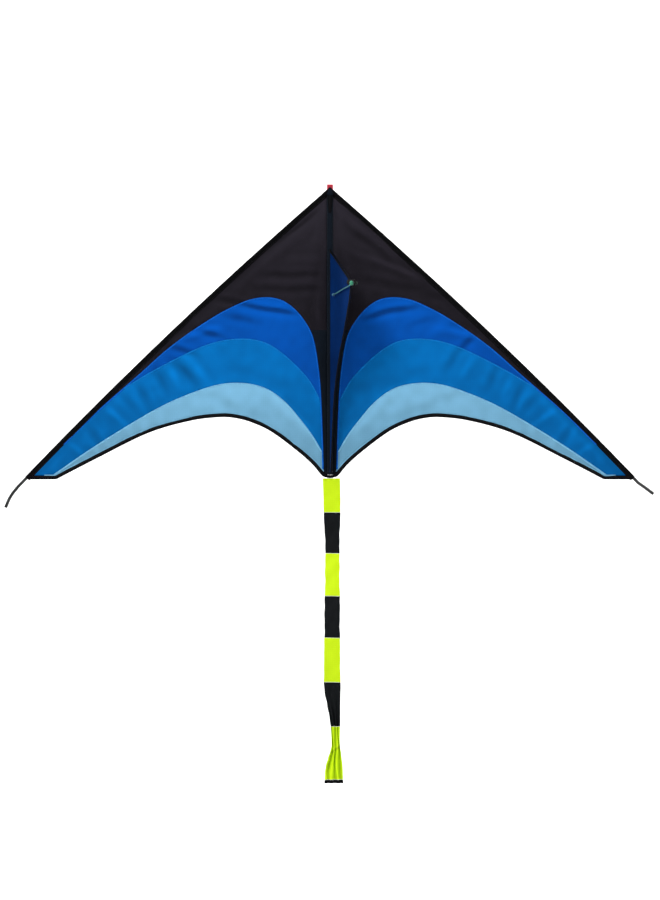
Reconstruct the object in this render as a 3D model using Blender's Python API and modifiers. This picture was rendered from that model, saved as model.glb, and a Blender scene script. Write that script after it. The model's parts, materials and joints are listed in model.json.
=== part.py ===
"""Delta kite: a swept sail on a spine and two leading edge spars, with a keel fin and a ribbon tail.

Metres, +Z up. The origin is at the nose, where the hanging loop is sewn on. The sail lies in the XZ
plane, and its keel side faces -Y. Flat pieces are drawn in (across, up) in a plane of their own, and
their third coordinate, out, is the distance from that plane towards the keel side.
"""

import math

import bmesh
import bpy
from mathutils import Matrix, Vector, geometry

# Sail outline of one wing: across from the spine, up from the nose
WING_CORNER = (0.754, -0.717)
EDGE_BOW = 0.012
SAIL_THICKNESS = 0.0006
SEAM_GAP = 0.0003
SEAM_STEP = 0.013
BLUNT_END = 0.0018
CORNER_DROP = 0.0025
SPINE_CORNER_DROP = 0.0014

# Trailing edge, from the spine to where it runs level to the corner
TRAILING_EDGE = (
    (0.0165, -0.7134), (0.0435, -0.6823), (0.0850, -0.6460), (0.1469, -0.6006), (0.1910, -0.5800),
    (0.2275, -0.5696), (0.2663, -0.5662), (0.3414, -0.5748), (0.4450, -0.6045), (0.5745, -0.6680),
    (0.6740, -0.7195),
)
BINDING_WIDTH = 0.009
BINDING_THICKNESS = 0.0012

# Seams between the coloured panels, from the spine outwards
NOSE_SEAM = (
    (0.0158, -0.7000), (0.0166, -0.6600), (0.0195, -0.5700), (0.0235, -0.4900), (0.0300, -0.4300),
    (0.0393, -0.3780), (0.0512, -0.3470), (0.0788, -0.3080), (0.1135, -0.2806), (0.1472, -0.2715),
    (0.1834, -0.2737), (0.2171, -0.2840), (0.2845, -0.3185), (0.3880, -0.3890), (0.4700, -0.4610),
    (0.5735, -0.5520), (0.6600, -0.6370),
)
UPPER_SEAM = (
    (0.0345, -0.5020), (0.0554, -0.4690), (0.1037, -0.4197), (0.1391, -0.3930), (0.1660, -0.3800),
    (0.2043, -0.3732), (0.2560, -0.3760), (0.3030, -0.3880), (0.3546, -0.4100), (0.4425, -0.4556),
)
LOWER_SEAM = (
    (0.0434, -0.6110), (0.0746, -0.5696), (0.1083, -0.5308), (0.1471, -0.5010), (0.1886, -0.4859),
    (0.2378, -0.4820), (0.2844, -0.4885), (0.3415, -0.5075), (0.4061, -0.5352), (0.4839, -0.5788),
    (0.5874, -0.6435),
)
UPPER_SEAM_ENDS = (-0.530, 0.512)
LOWER_SEAM_ENDS = (-0.656, 0.6846)

# Leading edge spars, in a fabric sleeve that is open where the spreader clip sits
SPAR_RADIUS = 0.002
SPAR_END_GAP = 0.0003
FIT_GAP = 0.0003
SLEEVE_RADIUS = 0.0043
SLEEVE_WALL = 0.0006
SLEEVE_START = 0.022
SLEEVE_END_SHORT = 0.006
SPAR_START = 0.026
SPAR_PIECES = 8
NOSE_CAP_LENGTH = 0.014
NOSE_CAP_GRIP = 0.0115
NOSE_CAP_WALL = 0.0007
FERRULE_AT = 0.62
FERRULE_LENGTH = 0.050
FERRULE_RADIUS = 0.0030
TIP_TUBE_RADIUS = 0.0040
TIP_TUBE_GRIP = 0.016
TIP_TUBE_STEP = 0.008

# Where the tip tubes go past the wing corner, as steps from it
LEFT_TIP = ((0.0140, -0.0205), (0.0325, -0.0450), (0.0445, -0.0715))
RIGHT_TIP = ((0.0185, -0.0205), (0.0420, -0.0380))

# Spreader behind the sail, in two rods joined by a soft tube
SPREADER_UP = -0.364
SPREADER_RADIUS = 0.0025
SPREADER_BEHIND = 0.008
SPREADER_INNER_END = 0.038
CENTRE_TUBE_LENGTH = 0.120
CENTRE_TUBE_WALL = 0.0013
CENTRE_TUBE_GAP = 0.0002
CENTRE_TUBE_RADIUS = SPREADER_RADIUS + FIT_GAP + CENTRE_TUBE_GAP + CENTRE_TUBE_WALL
CLIP_LENGTH = 0.024
CLIP_RADIUS = 0.0042
CLIP_WINDOW_GAP = 0.001
SOCKET_LENGTH = 0.018
SOCKET_FLOOR = 0.002
SOCKET_RADIUS = 0.0045
SOCKET_INSET = 0.003
CLIP_WEB = (0.009, 0.009, 0.0055)
CLIP_WEB_INSET = 0.0042
CLIP_WEB_BEHIND = 0.0044

# Spine and its pocket
SPINE_RADIUS = 0.002
SPINE_TOP = -0.012
POCKET_WIDTH = 0.016
POCKET_DEPTH = 0.0056
POCKET_TOP = -0.0065
POCKET_END = -0.7080
SPINE_END = POCKET_END + 0.0035

# Nose: hanging loop of webbing, and a patch below it
LOOP_WIDTH = 0.015
LOOP_THICKNESS = 0.001
LOOP_INNER_HALF = 0.0034
LOOP_TOP = 0.0070
LOOP_LEG_END = -0.0180
PATCH_LENGTH = 0.045
PATCH_TOP_WIDTH = 0.0135
PATCH_END_WIDTH = 0.006
PATCH_THICKNESS = 0.0006

# Keel: across is the distance from its hinge line
KEEL_LEAN = math.radians(21)
KEEL_STANDOFF = 0.0042
KEEL_ROOT = 0.001
KEEL_TOP = -0.152
KEEL_END = -0.700
KEEL_TIP = (0.146, -0.238)
KEEL_TRAIL = ((0.1360, -0.2780), (0.1020, -0.3520), (0.0640, -0.4260), (0.0330, -0.5240))
KEEL_END_WIDTH = 0.012
KEEL_BINDING = 0.008
EYELET_AT = (KEEL_TIP[0] + 0.014, KEEL_TIP[1] - 0.006)
EYELET_HOLE = 0.0028
EYELET_BARREL = 0.0037
EYELET_FLANGE = 0.0062
EYELET_LIP = 0.0005
TAB_END_RADIUS = 0.0090
TAB_ROOT_AT = (KEEL_TIP[0] - 0.024, KEEL_TIP[1] - 0.0015)
TAB_ROOT_RADIUS = 0.0055
TAB_THICKNESS = 0.0006

# Tow leader: a short cord that lies on the keel's left face, with a knot at each end
LEADER_RADIUS = 0.0015
LEADER_POINTS = (
    (0.1530, -0.2462, 0.0058), (0.1460, -0.2478, 0.0046), (0.1370, -0.2498, 0.0037),
    (0.1270, -0.2516, 0.0032), (0.1170, -0.2528, 0.0029), (0.1070, -0.2541, 0.0028),
    (0.0970, -0.2556, 0.0028), (0.0870, -0.2572, 0.0028), (0.0770, -0.2589, 0.0028),
    (0.0680, -0.2606, 0.0028), (0.0600, -0.2621, 0.0028), (0.0530, -0.2634, 0.0029),
    (0.0470, -0.2644, 0.0031), (0.0420, -0.2652, 0.0034), (0.0385, -0.2658, 0.0037),
)
HITCH_AT = (EYELET_AT[0], EYELET_AT[1] - 0.0002, 0.0064)
HITCH_SIZE = (0.0060, 0.0060, 0.0034)
END_KNOT_AT = (0.0338, -0.2666, 0.0042)
END_KNOT_SIZE = (0.0043, 0.0036, 0.0033)
STOPPER_AT = -0.0069
STOPPER_SIZE = (0.0042, 0.0042, 0.0032)

# Tail ribbon, hung from a tab at the spine's end
TAB_WIDTH = 0.015
TAIL_TAB_THICKNESS = 0.0012
TAIL_TOP = POCKET_END - 0.0085
TAIL_HINGE_GAP = 0.0004
TAIL_WIDTH = 0.044
TAIL_THICKNESS = 0.0008
TAIL_STRIPES = (
    ("tail_yellow_1", 0.084), ("tail_black_1", 0.101), ("tail_yellow_2", 0.105), ("tail_black_2", 0.103),
    ("tail_yellow_3", 0.109),
)
TAIL_ACROSS = 0.0050
TAIL_NECK_LENGTH = 0.109
TAIL_NECK_ACROSS = 0.0130
TAIL_NECK = (0.024, 0.008)
TAIL_FLARE_LENGTH = 0.131
TAIL_FLARE = ((0.42, 0.0135, 0.026, 0.011), (0.72, 0.0105, 0.040, 0.009))
TAIL_HEM_ACROSS = 0.0092
TAIL_HEM = (0.048, 0.003)
TAIL_HEM_LENGTH = 0.009

ROUND_STEPS = 16
CUT_BEYOND = 0.002
SIDES = {8: 2, 10: 3, 12: 4}

BLACK = ("sail_black", (0.016, 0.015, 0.020), 0.62, 0.0)
ROYAL = ("sail_royal", (0.003, 0.080, 0.400), 0.55, 0.0)
AZURE = ("sail_azure", (0.004, 0.165, 0.480), 0.55, 0.0)
SKY = ("sail_sky", (0.190, 0.480, 0.720), 0.58, 0.0)
KEEL_BLUE = ("keel_blue", (0.003, 0.045, 0.200), 0.55, 0.0)
TAPE = ("binding_tape", (0.006, 0.007, 0.010), 0.70, 0.0)
RED_WEB = ("red_webbing", (0.420, 0.010, 0.030), 0.75, 0.0)
ROD = ("fibreglass_rod", (0.012, 0.012, 0.013), 0.30, 0.0)
PLASTIC = ("black_plastic", (0.015, 0.015, 0.016), 0.45, 0.0)
VINYL = ("soft_tube", (0.010, 0.010, 0.011), 0.40, 0.0)
METAL = ("eyelet_metal", (0.600, 0.600, 0.620), 0.25, 1.0)
CORD = ("teal_cord", (0.080, 0.520, 0.420), 0.80, 0.0)
YELLOW = ("tail_yellow", (0.580, 0.820, 0.012), 0.55, 0.0)


# ---------------------------------------------------------------- scene and materials

def clear_scene():
    for obj in list(bpy.data.objects):
        bpy.data.objects.remove(obj, do_unlink=True)


def collection(name):
    made = bpy.data.collections.new(name)
    bpy.context.scene.collection.children.link(made)
    return made


def material(look):
    name, colour, roughness, metallic = look
    made = bpy.data.materials.get(name)
    if made is None:
        made = bpy.data.materials.new(name)
        made.use_nodes = True
        shader = made.node_tree.nodes["Principled BSDF"]
        shader.inputs["Base Color"].default_value = (*colour, 1.0)
        shader.inputs["Roughness"].default_value = roughness
        shader.inputs["Metallic"].default_value = metallic
        made.diffuse_color = (*colour, 1.0)
    return made


def add_object(name, data, look, parent):
    obj = bpy.data.objects.new(name, data)
    data.materials.append(material(look))
    obj.parent = parent
    PARTS.objects.link(obj)
    return obj


def add_plane(name, location=(0, 0, 0), turn=0.0):
    """An empty that holds a plane: X runs across, Y runs up, and Z points out to the keel side."""
    empty = bpy.data.objects.new(name, None)
    empty.empty_display_size = 0.05
    empty.location = location
    empty.rotation_euler = (math.pi / 2, 0, turn)
    PARTS.objects.link(empty)
    return empty


# ---------------------------------------------------------------- shapes

def smooth_line(points, spacing=SEAM_STEP):
    """A smooth line through the points, with a point about every spacing."""
    points = [Vector(p) for p in points]
    last = len(points) - 1
    slopes = [(points[min(i + 1, last)] - points[max(i - 1, 0)]).normalized() for i in range(last + 1)]
    line = [points[0]]
    for i in range(last):
        reach = (points[i + 1] - points[i]).length
        count = max(2, round(reach / spacing) + 1)
        start_handle = points[i] + slopes[i] * reach / 3
        end_handle = points[i + 1] - slopes[i + 1] * reach / 3
        piece = geometry.interpolate_bezier(points[i], start_handle, end_handle, points[i + 1], count)
        line += [Vector(p).resized(len(points[0])) for p in piece[1:]]
    return line


def side_step(line, distance):
    """The line moved to its left by distance."""
    moved = []
    for i, point in enumerate(line):
        along = (line[min(i + 1, len(line) - 1)] - line[max(i - 1, 0)]).normalized()
        moved.append(point + Vector((-along.y, along.x)) * distance)
    return moved


def area_of(outline):
    return sum(a.x * b.y - b.x * a.y for a, b in zip(outline, outline[1:] + outline[:1])) / 2


def shrunk(outline, distance):
    """A closed outline, anticlockwise, with each side moved inwards by distance."""
    outline = [Vector(p) for p in outline]
    if area_of(outline) < 0:
        outline.reverse()
    inner = []
    for before, point, after in zip(outline[-1:] + outline[:-1], outline, outline[1:] + outline[:1]):
        a, b = (point - before).normalized(), (after - point).normalized()
        normal = Vector((-a.y - b.y, a.x + b.x))
        reach = max(normal.length_squared / 2, 0.25)
        inner.append(point + normal * (distance / reach))
    return inner


def disc(centre, radius, steps=ROUND_STEPS):
    turn = 2 * math.pi / steps
    return [Vector(centre) + radius * Vector((math.cos(i * turn), math.sin(i * turn))) for i in range(steps)]


def arc(centre, radius, start, steps):
    """Half a circle, anticlockwise from the angle start."""
    angles = [start + math.pi * i / steps for i in range(steps + 1)]
    return [Vector(centre) + radius * Vector((math.cos(angle), math.sin(angle))) for angle in angles]


def add_spline(curve, points, closed):
    spline = curve.splines.new("POLY")
    spline.points.add(len(points) - 1)
    for slot, point in zip(spline.points, points):
        slot.co = (*Vector(point).to_3d(), 1.0)
    spline.use_cyclic_u = closed


def add_plate(name, outlines, thickness, look, parent, out=0.0):
    """A flat piece: the first outline is its edge, and any others are holes."""
    curve = bpy.data.curves.new(name, "CURVE")
    curve.dimensions = "2D"
    curve.fill_mode = "BOTH"
    curve.extrude = thickness / 2
    for outline in outlines:
        add_spline(curve, outline, closed=True)
    plate = add_object(name, curve, look, parent)
    plate.location.z = out
    return plate


def add_rod(name, points, radius, look, parent, sides=8, capped=True):
    curve = bpy.data.curves.new(name, "CURVE")
    curve.dimensions = "3D"
    curve.bevel_depth = radius
    curve.bevel_resolution = SIDES[sides]
    curve.use_fill_caps = capped
    add_spline(curve, points, closed=False)
    return add_object(name, curve, look, parent)


def add_hose(name, points, radius, wall, look, parent, sides=12):
    """A tube that is open at both ends."""
    hose = add_rod(name, points, radius, look, parent, sides, capped=False)
    wall_modifier = hose.modifiers.new("wall", "SOLIDIFY")
    wall_modifier.thickness = wall
    wall_modifier.offset = -1
    return hose


def add_turned(name, profile, look, parent, centre, axis, closed=False):
    """A profile of (radius, height) turned about axis. It runs down its outer side."""
    mesh = bpy.data.meshes.new(name)
    points = [(r, 0, h) for r, h in profile]
    edges = [(i, i + 1) for i in range(len(points) - 1)] + [(len(points) - 1, 0)] * closed
    mesh.from_pydata(points, edges, [])
    turned = add_object(name, mesh, look, parent)
    turned.location = centre
    turned.rotation_euler = Vector(axis).to_track_quat("Z", "Y").to_euler()
    screw = turned.modifiers.new("turned", "SCREW")
    screw.steps = screw.render_steps = ROUND_STEPS
    screw.use_merge_vertices = True
    screw.merge_threshold = 0.00001
    return turned


def add_cap(name, size, look, parent, mouth, axis):
    """A cup whose mouth is at the point mouth and opens along axis."""
    length, radius, bore, depth = size
    profile = ((bore, 0), (radius, 0), (radius, -length), (0, -length))
    profile = ((0, -depth), (bore, -depth)) + profile
    return add_turned(name, profile, look, parent, mouth, axis)


def add_knot(name, centre, size, look, parent):
    mesh = bpy.data.meshes.new(name)
    shape = bmesh.new()
    bmesh.ops.create_uvsphere(shape, u_segments=12, v_segments=8, radius=1.0)
    bmesh.ops.scale(shape, vec=size, verts=shape.verts)
    shape.to_mesh(mesh)
    shape.free()
    knot = add_object(name, mesh, look, parent)
    knot.location = centre
    return knot


def cylinder_mesh(name, radius, start, end):
    mesh = bpy.data.meshes.new(name)
    shape = bmesh.new()
    start, end = Vector(start), Vector(end)
    turn = (end - start).to_track_quat("Z", "Y").to_matrix().to_4x4()
    place = Matrix.Translation((start + end) / 2) @ turn
    bmesh.ops.create_cone(
        shape, cap_ends=True, segments=ROUND_STEPS, radius1=radius, radius2=radius,
        depth=(end - start).length, matrix=place,
    )
    shape.to_mesh(mesh)
    shape.free()
    return mesh


def box_mesh(name, centre, size):
    mesh = bpy.data.meshes.new(name)
    shape = bmesh.new()
    bmesh.ops.create_cube(shape, size=1.0, matrix=Matrix.Translation(centre) @ Matrix.Diagonal((*size, 1)))
    shape.to_mesh(mesh)
    shape.free()
    return mesh


def combine(target, mesh, operation):
    helper = bpy.data.objects.new(mesh.name, mesh)
    helper.parent = target.parent
    helper.hide_render = True
    helper.display_type = "WIRE"
    CUTTERS.objects.link(helper)
    boolean = target.modifiers.new(operation.lower(), "BOOLEAN")
    boolean.operation = operation
    boolean.object = helper


def as_mesh(obj):
    """Turns a curve object into a mesh object, so that it can be cut."""
    name = obj.name
    depsgraph = bpy.context.evaluated_depsgraph_get()
    mesh = bpy.data.meshes.new_from_object(obj.evaluated_get(depsgraph))
    shape = bmesh.new()
    shape.from_mesh(mesh)
    bmesh.ops.remove_doubles(shape, verts=shape.verts, dist=0.00001)
    shape.to_mesh(mesh)
    shape.free()
    made = bpy.data.objects.new(name, mesh)
    made.parent = obj.parent
    made.matrix_local = obj.matrix_local.copy()
    bpy.data.objects.remove(obj, do_unlink=True)
    made.name = name
    PARTS.objects.link(made)
    return made


def add_loft(name, sections, look, parent):
    """A solid through level rectangles, each (across, up, width, depth), from the top down."""
    mesh = bpy.data.meshes.new(name)
    shape = bmesh.new()
    rings = []
    for across, up, width, depth in sections:
        corners = ((-1, -1), (1, -1), (1, 1), (-1, 1))
        rings.append([shape.verts.new((across + x * width / 2, up, z * depth / 2)) for x, z in corners])
    for upper, lower in zip(rings, rings[1:]):
        for i in range(4):
            j = (i + 1) % 4
            shape.faces.new((upper[i], upper[j], lower[j], lower[i]))
    shape.faces.new(rings[0])
    shape.faces.new(rings[-1])
    bmesh.ops.recalc_face_normals(shape, faces=shape.faces)
    shape.to_mesh(mesh)
    shape.free()
    return add_object(name, mesh, look, parent)


# ---------------------------------------------------------------- lines that several pieces follow

CHORD = Vector(WING_CORNER)
CHORD_LENGTH = CHORD.length
OUTWARD = Vector((-CHORD.y, CHORD.x)).normalized()


def edge_point(distance, inset=0.0):
    """A point of the leading edge, at a distance along it from the nose, moved inwards by inset."""
    share = distance / CHORD_LENGTH
    return CHORD * share + OUTWARD * (4 * EDGE_BOW * share * (1 - share) - inset)


def edge_direction(distance):
    share = distance / CHORD_LENGTH
    return (CHORD / CHORD_LENGTH + OUTWARD * (4 * EDGE_BOW * (1 - 2 * share) / CHORD_LENGTH)).normalized()


def edge_line(start, end, inset, pieces):
    return [edge_point(start + (end - start) * i / pieces, inset) for i in range(pieces + 1)]


def distance_at(measure, wanted, inset=0.0):
    """The distance along the leading edge at which measure, such as a coordinate, reaches wanted."""
    low, high = 0.0, 1.1 * CHORD_LENGTH
    for _ in range(50):
        middle = (low + high) / 2
        low, high = (middle, high) if measure(edge_point(middle, inset)) < wanted else (low, middle)
    return low


def across_on(line, wanted_up):
    """How far across a line is where it first reaches a height."""
    for a, b in zip(line, line[1:]):
        if (a.y - wanted_up) * (b.y - wanted_up) <= 0 and a.y != b.y:
            return a.x + (b.x - a.x) * (wanted_up - a.y) / (b.y - a.y)
    raise ValueError("the line never reaches that height")


def up_on(line, wanted_across):
    """How high a line is at its last crossing of a distance across."""
    for a, b in zip(line[-2::-1], line[:0:-1]):
        if (a.x - wanted_across) * (b.x - wanted_across) <= 0 and a.x != b.x:
            return a.y + (b.y - a.y) * (wanted_across - a.x) / (b.x - a.x)
    raise ValueError("the line never reaches that distance")


SAIL_INSET = 2 * SLEEVE_RADIUS + SEAM_GAP / 2
INNER_EDGE = POCKET_WIDTH / 2 + SEAM_GAP / 2
SPREADER_JOINS = distance_at(lambda p: -p.y, -SPREADER_UP, SLEEVE_RADIUS)
CLIP_CENTRE = edge_point(SPREADER_JOINS, SLEEVE_RADIUS)
SPAR_END = CHORD_LENGTH - SLEEVE_END_SHORT + TIP_TUBE_GRIP


def sail_lines():
    """The trailing edge, the line above its binding, and the three seams."""
    level = WING_CORNER[1] - CORNER_DROP
    edge_meets = distance_at(lambda p: -p.y, -level, SAIL_INSET)
    corner = Vector((edge_point(edge_meets, SAIL_INSET).x, level))
    curved = smooth_line(((INNER_EDGE, TRAILING_EDGE[0][1] - SPINE_CORNER_DROP), *TRAILING_EDGE))
    trailing = [*curved, Vector(((curved[-1].x + corner.x) / 2, level)), corner]
    above = side_step(trailing[:-1], BINDING_WIDTH)
    above = [above[0], *(p for p in above[1:] if p.x > INNER_EDGE + BINDING_WIDTH / 4)]
    above[0].x = INNER_EDGE
    top_up = level + BINDING_WIDTH
    top_meets = distance_at(lambda p: -p.y, -top_up, SAIL_INSET)
    above[-1].y = top_up
    above.append(Vector((edge_point(top_meets, SAIL_INSET).x, top_up)))

    nose = smooth_line(NOSE_SEAM)
    upper_start, upper_end = UPPER_SEAM_ENDS
    upper = smooth_line((
        (across_on(nose, upper_start) + BLUNT_END, upper_start),
        *UPPER_SEAM,
        (upper_end, up_on(nose, upper_end) - BLUNT_END),
    ))
    lower_start, lower_end = LOWER_SEAM_ENDS
    lower = smooth_line((
        (across_on(nose, lower_start) + BLUNT_END, lower_start),
        *LOWER_SEAM,
        (lower_end, up_on(above, lower_end) + BLUNT_END),
    ))
    return trailing, above, nose, upper, lower


def part_of(line, start, end):
    """The points of a line between two distances across."""
    return [p for p in line if start < p.x < end]


# ---------------------------------------------------------------- wings

def sail_outlines():
    """{panel: outline} for one wing, with every seam shared by its two panels."""
    trailing, above, nose, upper, lower = sail_lines()
    edge_start = distance_at(lambda p: p.x, INNER_EDGE, SAIL_INSET)
    edge_end = distance_at(lambda p: p.x, nose[-1].x, SAIL_INSET)
    edge_last = distance_at(lambda p: p.x, above[-1].x, SAIL_INSET)
    nose_by_spine = [p for p in nose if p.y < upper[0].y and p.x < upper[0].x]
    split = len(nose_by_spine)
    over_royal = [p for p in nose[split:] if p.x < upper[-1].x]
    beyond = nose[split + len(over_royal):]
    below_azure = [p for p in nose_by_spine if p.y < lower[0].y]
    beside_azure = nose_by_spine[len(below_azure):]

    nose_panel = [
        *edge_line(edge_start, edge_end, SAIL_INSET, 16),
        *reversed(nose),
        *reversed(part_of(above, INNER_EDGE + 0.001, nose[0].x)),
        Vector((INNER_EDGE, above[0].y)),
    ]
    royal_panel = [*over_royal, *reversed(upper)]
    azure_panel = [
        *beside_azure, *upper, *beyond,
        *edge_line(edge_end + 0.004, edge_last, SAIL_INSET, 3),
        *reversed(part_of(above, lower[-1].x, above[-1].x - 0.001)),
        *reversed(lower),
    ]
    sky_panel = [*below_azure, *lower, *reversed(part_of(above, nose[0].x, lower[-1].x))]
    binding = [*trailing, *reversed(above)]
    return {
        "nose_panel": nose_panel, "royal_panel": royal_panel, "azure_panel": azure_panel,
        "sky_panel": sky_panel, "trailing_binding": binding,
    }


def mirrored(points, side):
    return [Vector((p[0] * side, *p[1:])) for p in points]


def add_sail(side, suffix, hinge):
    looks = {
        "nose_panel": BLACK, "royal_panel": ROYAL, "azure_panel": AZURE, "sky_panel": SKY,
        "trailing_binding": TAPE,
    }
    for name, outline in sail_outlines().items():
        thickness = BINDING_THICKNESS if name == "trailing_binding" else SAIL_THICKNESS
        edge = shrunk(mirrored(outline, side), SEAM_GAP / 2)
        add_plate(f"{name}_{suffix}", [edge], thickness, looks[name], hinge)


def add_leading_edge(side, suffix, hinge):
    inset = SLEEVE_RADIUS
    window = CLIP_LENGTH / 2 + CLIP_WINDOW_GAP
    sleeve_end = CHORD_LENGTH - SLEEVE_END_SHORT
    runs = {
        "sleeve_upper": (SLEEVE_START, SPREADER_JOINS - window),
        "sleeve_lower": (SPREADER_JOINS + window, sleeve_end),
    }
    for name, (start, end) in runs.items():
        line = mirrored(edge_line(start, end, inset, SPAR_PIECES), side)
        add_hose(f"{name}_{suffix}", line, SLEEVE_RADIUS, SLEEVE_WALL, BLACK, hinge)

    ferrule_at = FERRULE_AT * CHORD_LENGTH
    runs = {
        "spar_upper": (SPAR_START, ferrule_at - SPAR_END_GAP / 2),
        "spar_lower": (ferrule_at + SPAR_END_GAP / 2, SPAR_END),
    }
    for name, (start, end) in runs.items():
        line = mirrored(edge_line(start, end, inset, SPAR_PIECES), side)
        add_rod(f"{name}_{suffix}", line, SPAR_RADIUS, ROD, hinge)

    half = FERRULE_LENGTH / 2
    line = mirrored(edge_line(ferrule_at - half, ferrule_at + half, inset, 2), side)
    wall = FERRULE_RADIUS - SPAR_RADIUS - FIT_GAP
    add_hose(f"spar_ferrule_{suffix}", line, FERRULE_RADIUS, wall, METAL, hinge)

    mouth_at = SPAR_START + NOSE_CAP_GRIP
    mouth = mirrored([edge_point(mouth_at, inset)], side)[0]
    axis = mirrored([edge_direction(mouth_at)], side)[0].to_3d()
    bore = SPAR_RADIUS + FIT_GAP
    size = (NOSE_CAP_LENGTH, bore + NOSE_CAP_WALL, bore, NOSE_CAP_GRIP + FIT_GAP)
    add_cap(f"spar_nose_cap_{suffix}", size, PLASTIC, hinge, mouth.to_3d(), axis)


def add_tip_tube(side, suffix, hinge, points):
    """A soft tube pushed over the spar's end, beyond the sail."""
    start = CHORD_LENGTH - SLEEVE_END_SHORT + SEAM_GAP
    root = edge_point(start, SLEEVE_RADIUS)
    grip = edge_point(SPAR_END, SLEEVE_RADIUS)
    middle = (root + grip) / 2
    line = mirrored([root, *smooth_line((middle, grip, *points), TIP_TUBE_STEP)], side)
    tube = as_mesh(add_rod(f"tip_tube_{suffix}", line, TIP_TUBE_RADIUS, VINYL, hinge, sides=12))
    along = edge_direction(SPAR_END)
    ends = mirrored((root - along * CUT_BEYOND, grip + along * FIT_GAP), side)
    bore = cylinder_mesh(f"tip_bore_{suffix}", SPAR_RADIUS + FIT_GAP, *(e.to_3d() for e in ends))
    combine(tube, bore, "DIFFERENCE")


def add_spreader_clip(side, suffix, hinge):
    """A moulded clip on the spar, with a socket behind the sail that takes the spreader's end."""
    along = mirrored([edge_direction(SPREADER_JOINS)], side)[0].to_3d()
    centre = mirrored([CLIP_CENTRE], side)[0].to_3d()
    half = along * CLIP_LENGTH / 2
    mesh = cylinder_mesh(f"spreader_clip_{suffix}", CLIP_RADIUS, centre - half, centre + half)
    clip = add_object(f"spreader_clip_{suffix}", mesh, PLASTIC, hinge)

    inwards = Vector((-side, 0, 0))
    floor = centre + inwards * SOCKET_INSET - Vector((0, 0, SPREADER_BEHIND))
    mouth = floor + inwards * SOCKET_LENGTH
    combine(clip, cylinder_mesh(f"socket_{suffix}", SOCKET_RADIUS, mouth, floor), "UNION")
    web = centre + inwards * CLIP_WEB_INSET - Vector((0, 0, CLIP_WEB_BEHIND))
    combine(clip, box_mesh(f"clip_web_{suffix}", web, CLIP_WEB), "UNION")
    bores = (
        (f"spar_bore_{suffix}", SPAR_RADIUS, centre - half * 1.5, centre + half * 1.5),
        (
            f"socket_bore_{suffix}", SPREADER_RADIUS,
            mouth + inwards * CUT_BEYOND, floor + inwards * SOCKET_FLOOR,
        ),
    )
    for name, radius, start, end in bores:
        combine(clip, cylinder_mesh(name, radius + FIT_GAP, start, end), "DIFFERENCE")


def add_spreader_rod(side, suffix, hinge):
    outer = CLIP_CENTRE.x - SOCKET_INSET - SOCKET_FLOOR - FIT_GAP
    ends = [(side * x, SPREADER_UP, -SPREADER_BEHIND) for x in (SPREADER_INNER_END, outer)]
    add_rod(f"spreader_rod_{suffix}", ends, SPREADER_RADIUS, ROD, hinge, sides=10)


def beyond_corner(steps):
    return [(WING_CORNER[0] + across, WING_CORNER[1] + up) for across, up in steps]


def add_wing(side, suffix, tip):
    hinge = add_plane(f"wing_{suffix}_hinge")
    add_sail(side, suffix, hinge)
    add_leading_edge(side, suffix, hinge)
    add_tip_tube(side, suffix, hinge, tip)
    add_spreader_clip(side, suffix, hinge)
    add_spreader_rod(side, suffix, hinge)


# ---------------------------------------------------------------- spine

def add_spine():
    plane = add_plane("spine_plane")
    add_rod("spine_rod", ((0, SPINE_TOP, 0), (0, SPINE_END, 0)), SPINE_RADIUS, ROD, plane, sides=12)

    outer = [Vector((p.x * POCKET_WIDTH / 2, p.y * POCKET_DEPTH / 2)) for p in disc((0, 0), 1.0, 20)]
    outlines = [outer, disc((0, 0), SPINE_RADIUS + FIT_GAP)]
    pocket = add_plate("spine_pocket", outlines, POCKET_TOP - POCKET_END, BLACK, plane)
    pocket.rotation_euler = (math.pi / 2, 0, 0)
    pocket.location = (0, (POCKET_TOP + POCKET_END) / 2, 0)

    ends = [(x, SPREADER_UP, -SPREADER_BEHIND) for x in (-CENTRE_TUBE_LENGTH / 2, CENTRE_TUBE_LENGTH / 2)]
    add_hose("spreader_centre_tube", ends, CENTRE_TUBE_RADIUS, CENTRE_TUBE_WALL, VINYL, plane)
    add_nose_loop(plane)

    out = POCKET_DEPTH / 2 + FIT_GAP + PATCH_THICKNESS / 2
    top, end = LOOP_LEG_END - SEAM_GAP, LOOP_LEG_END - PATCH_LENGTH
    patch = [
        (-PATCH_TOP_WIDTH / 2, top), (-PATCH_END_WIDTH / 2, end),
        (PATCH_END_WIDTH / 2, end), (PATCH_TOP_WIDTH / 2, top),
    ]
    add_plate("nose_patch", [[Vector(p) for p in patch]], PATCH_THICKNESS, TAPE, plane, out)


def add_nose_loop(plane):
    """Webbing folded over the nose, with a leg on each face of the pocket and a loop above it."""
    outer_half = LOOP_INNER_HALF + LOOP_THICKNESS
    centre = (0, LOOP_TOP - outer_half)
    outer = arc(centre, outer_half, 0, 10)
    inner = arc(centre, LOOP_INNER_HALF, 0, 10)
    legs = [Vector((-outer_half, LOOP_LEG_END)), Vector((-LOOP_INNER_HALF, LOOP_LEG_END))]
    far_legs = [Vector((LOOP_INNER_HALF, LOOP_LEG_END)), Vector((outer_half, LOOP_LEG_END))]
    loop = add_plate("nose_loop", [[*outer, *legs, *reversed(inner), *far_legs]], LOOP_WIDTH, RED_WEB, plane)
    loop.rotation_euler = (0, math.pi / 2, 0)


# ---------------------------------------------------------------- keel and tow leader

def keel_lines():
    """The keel's upper edge and its trailing edge, both from the tip inwards."""
    tip = Vector(KEEL_TIP)
    upper = [tip, Vector((KEEL_ROOT, KEEL_TOP))]
    trail = smooth_line((KEEL_TIP, *KEEL_TRAIL, (KEEL_END_WIDTH, KEEL_END)))
    return upper, trail


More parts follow.
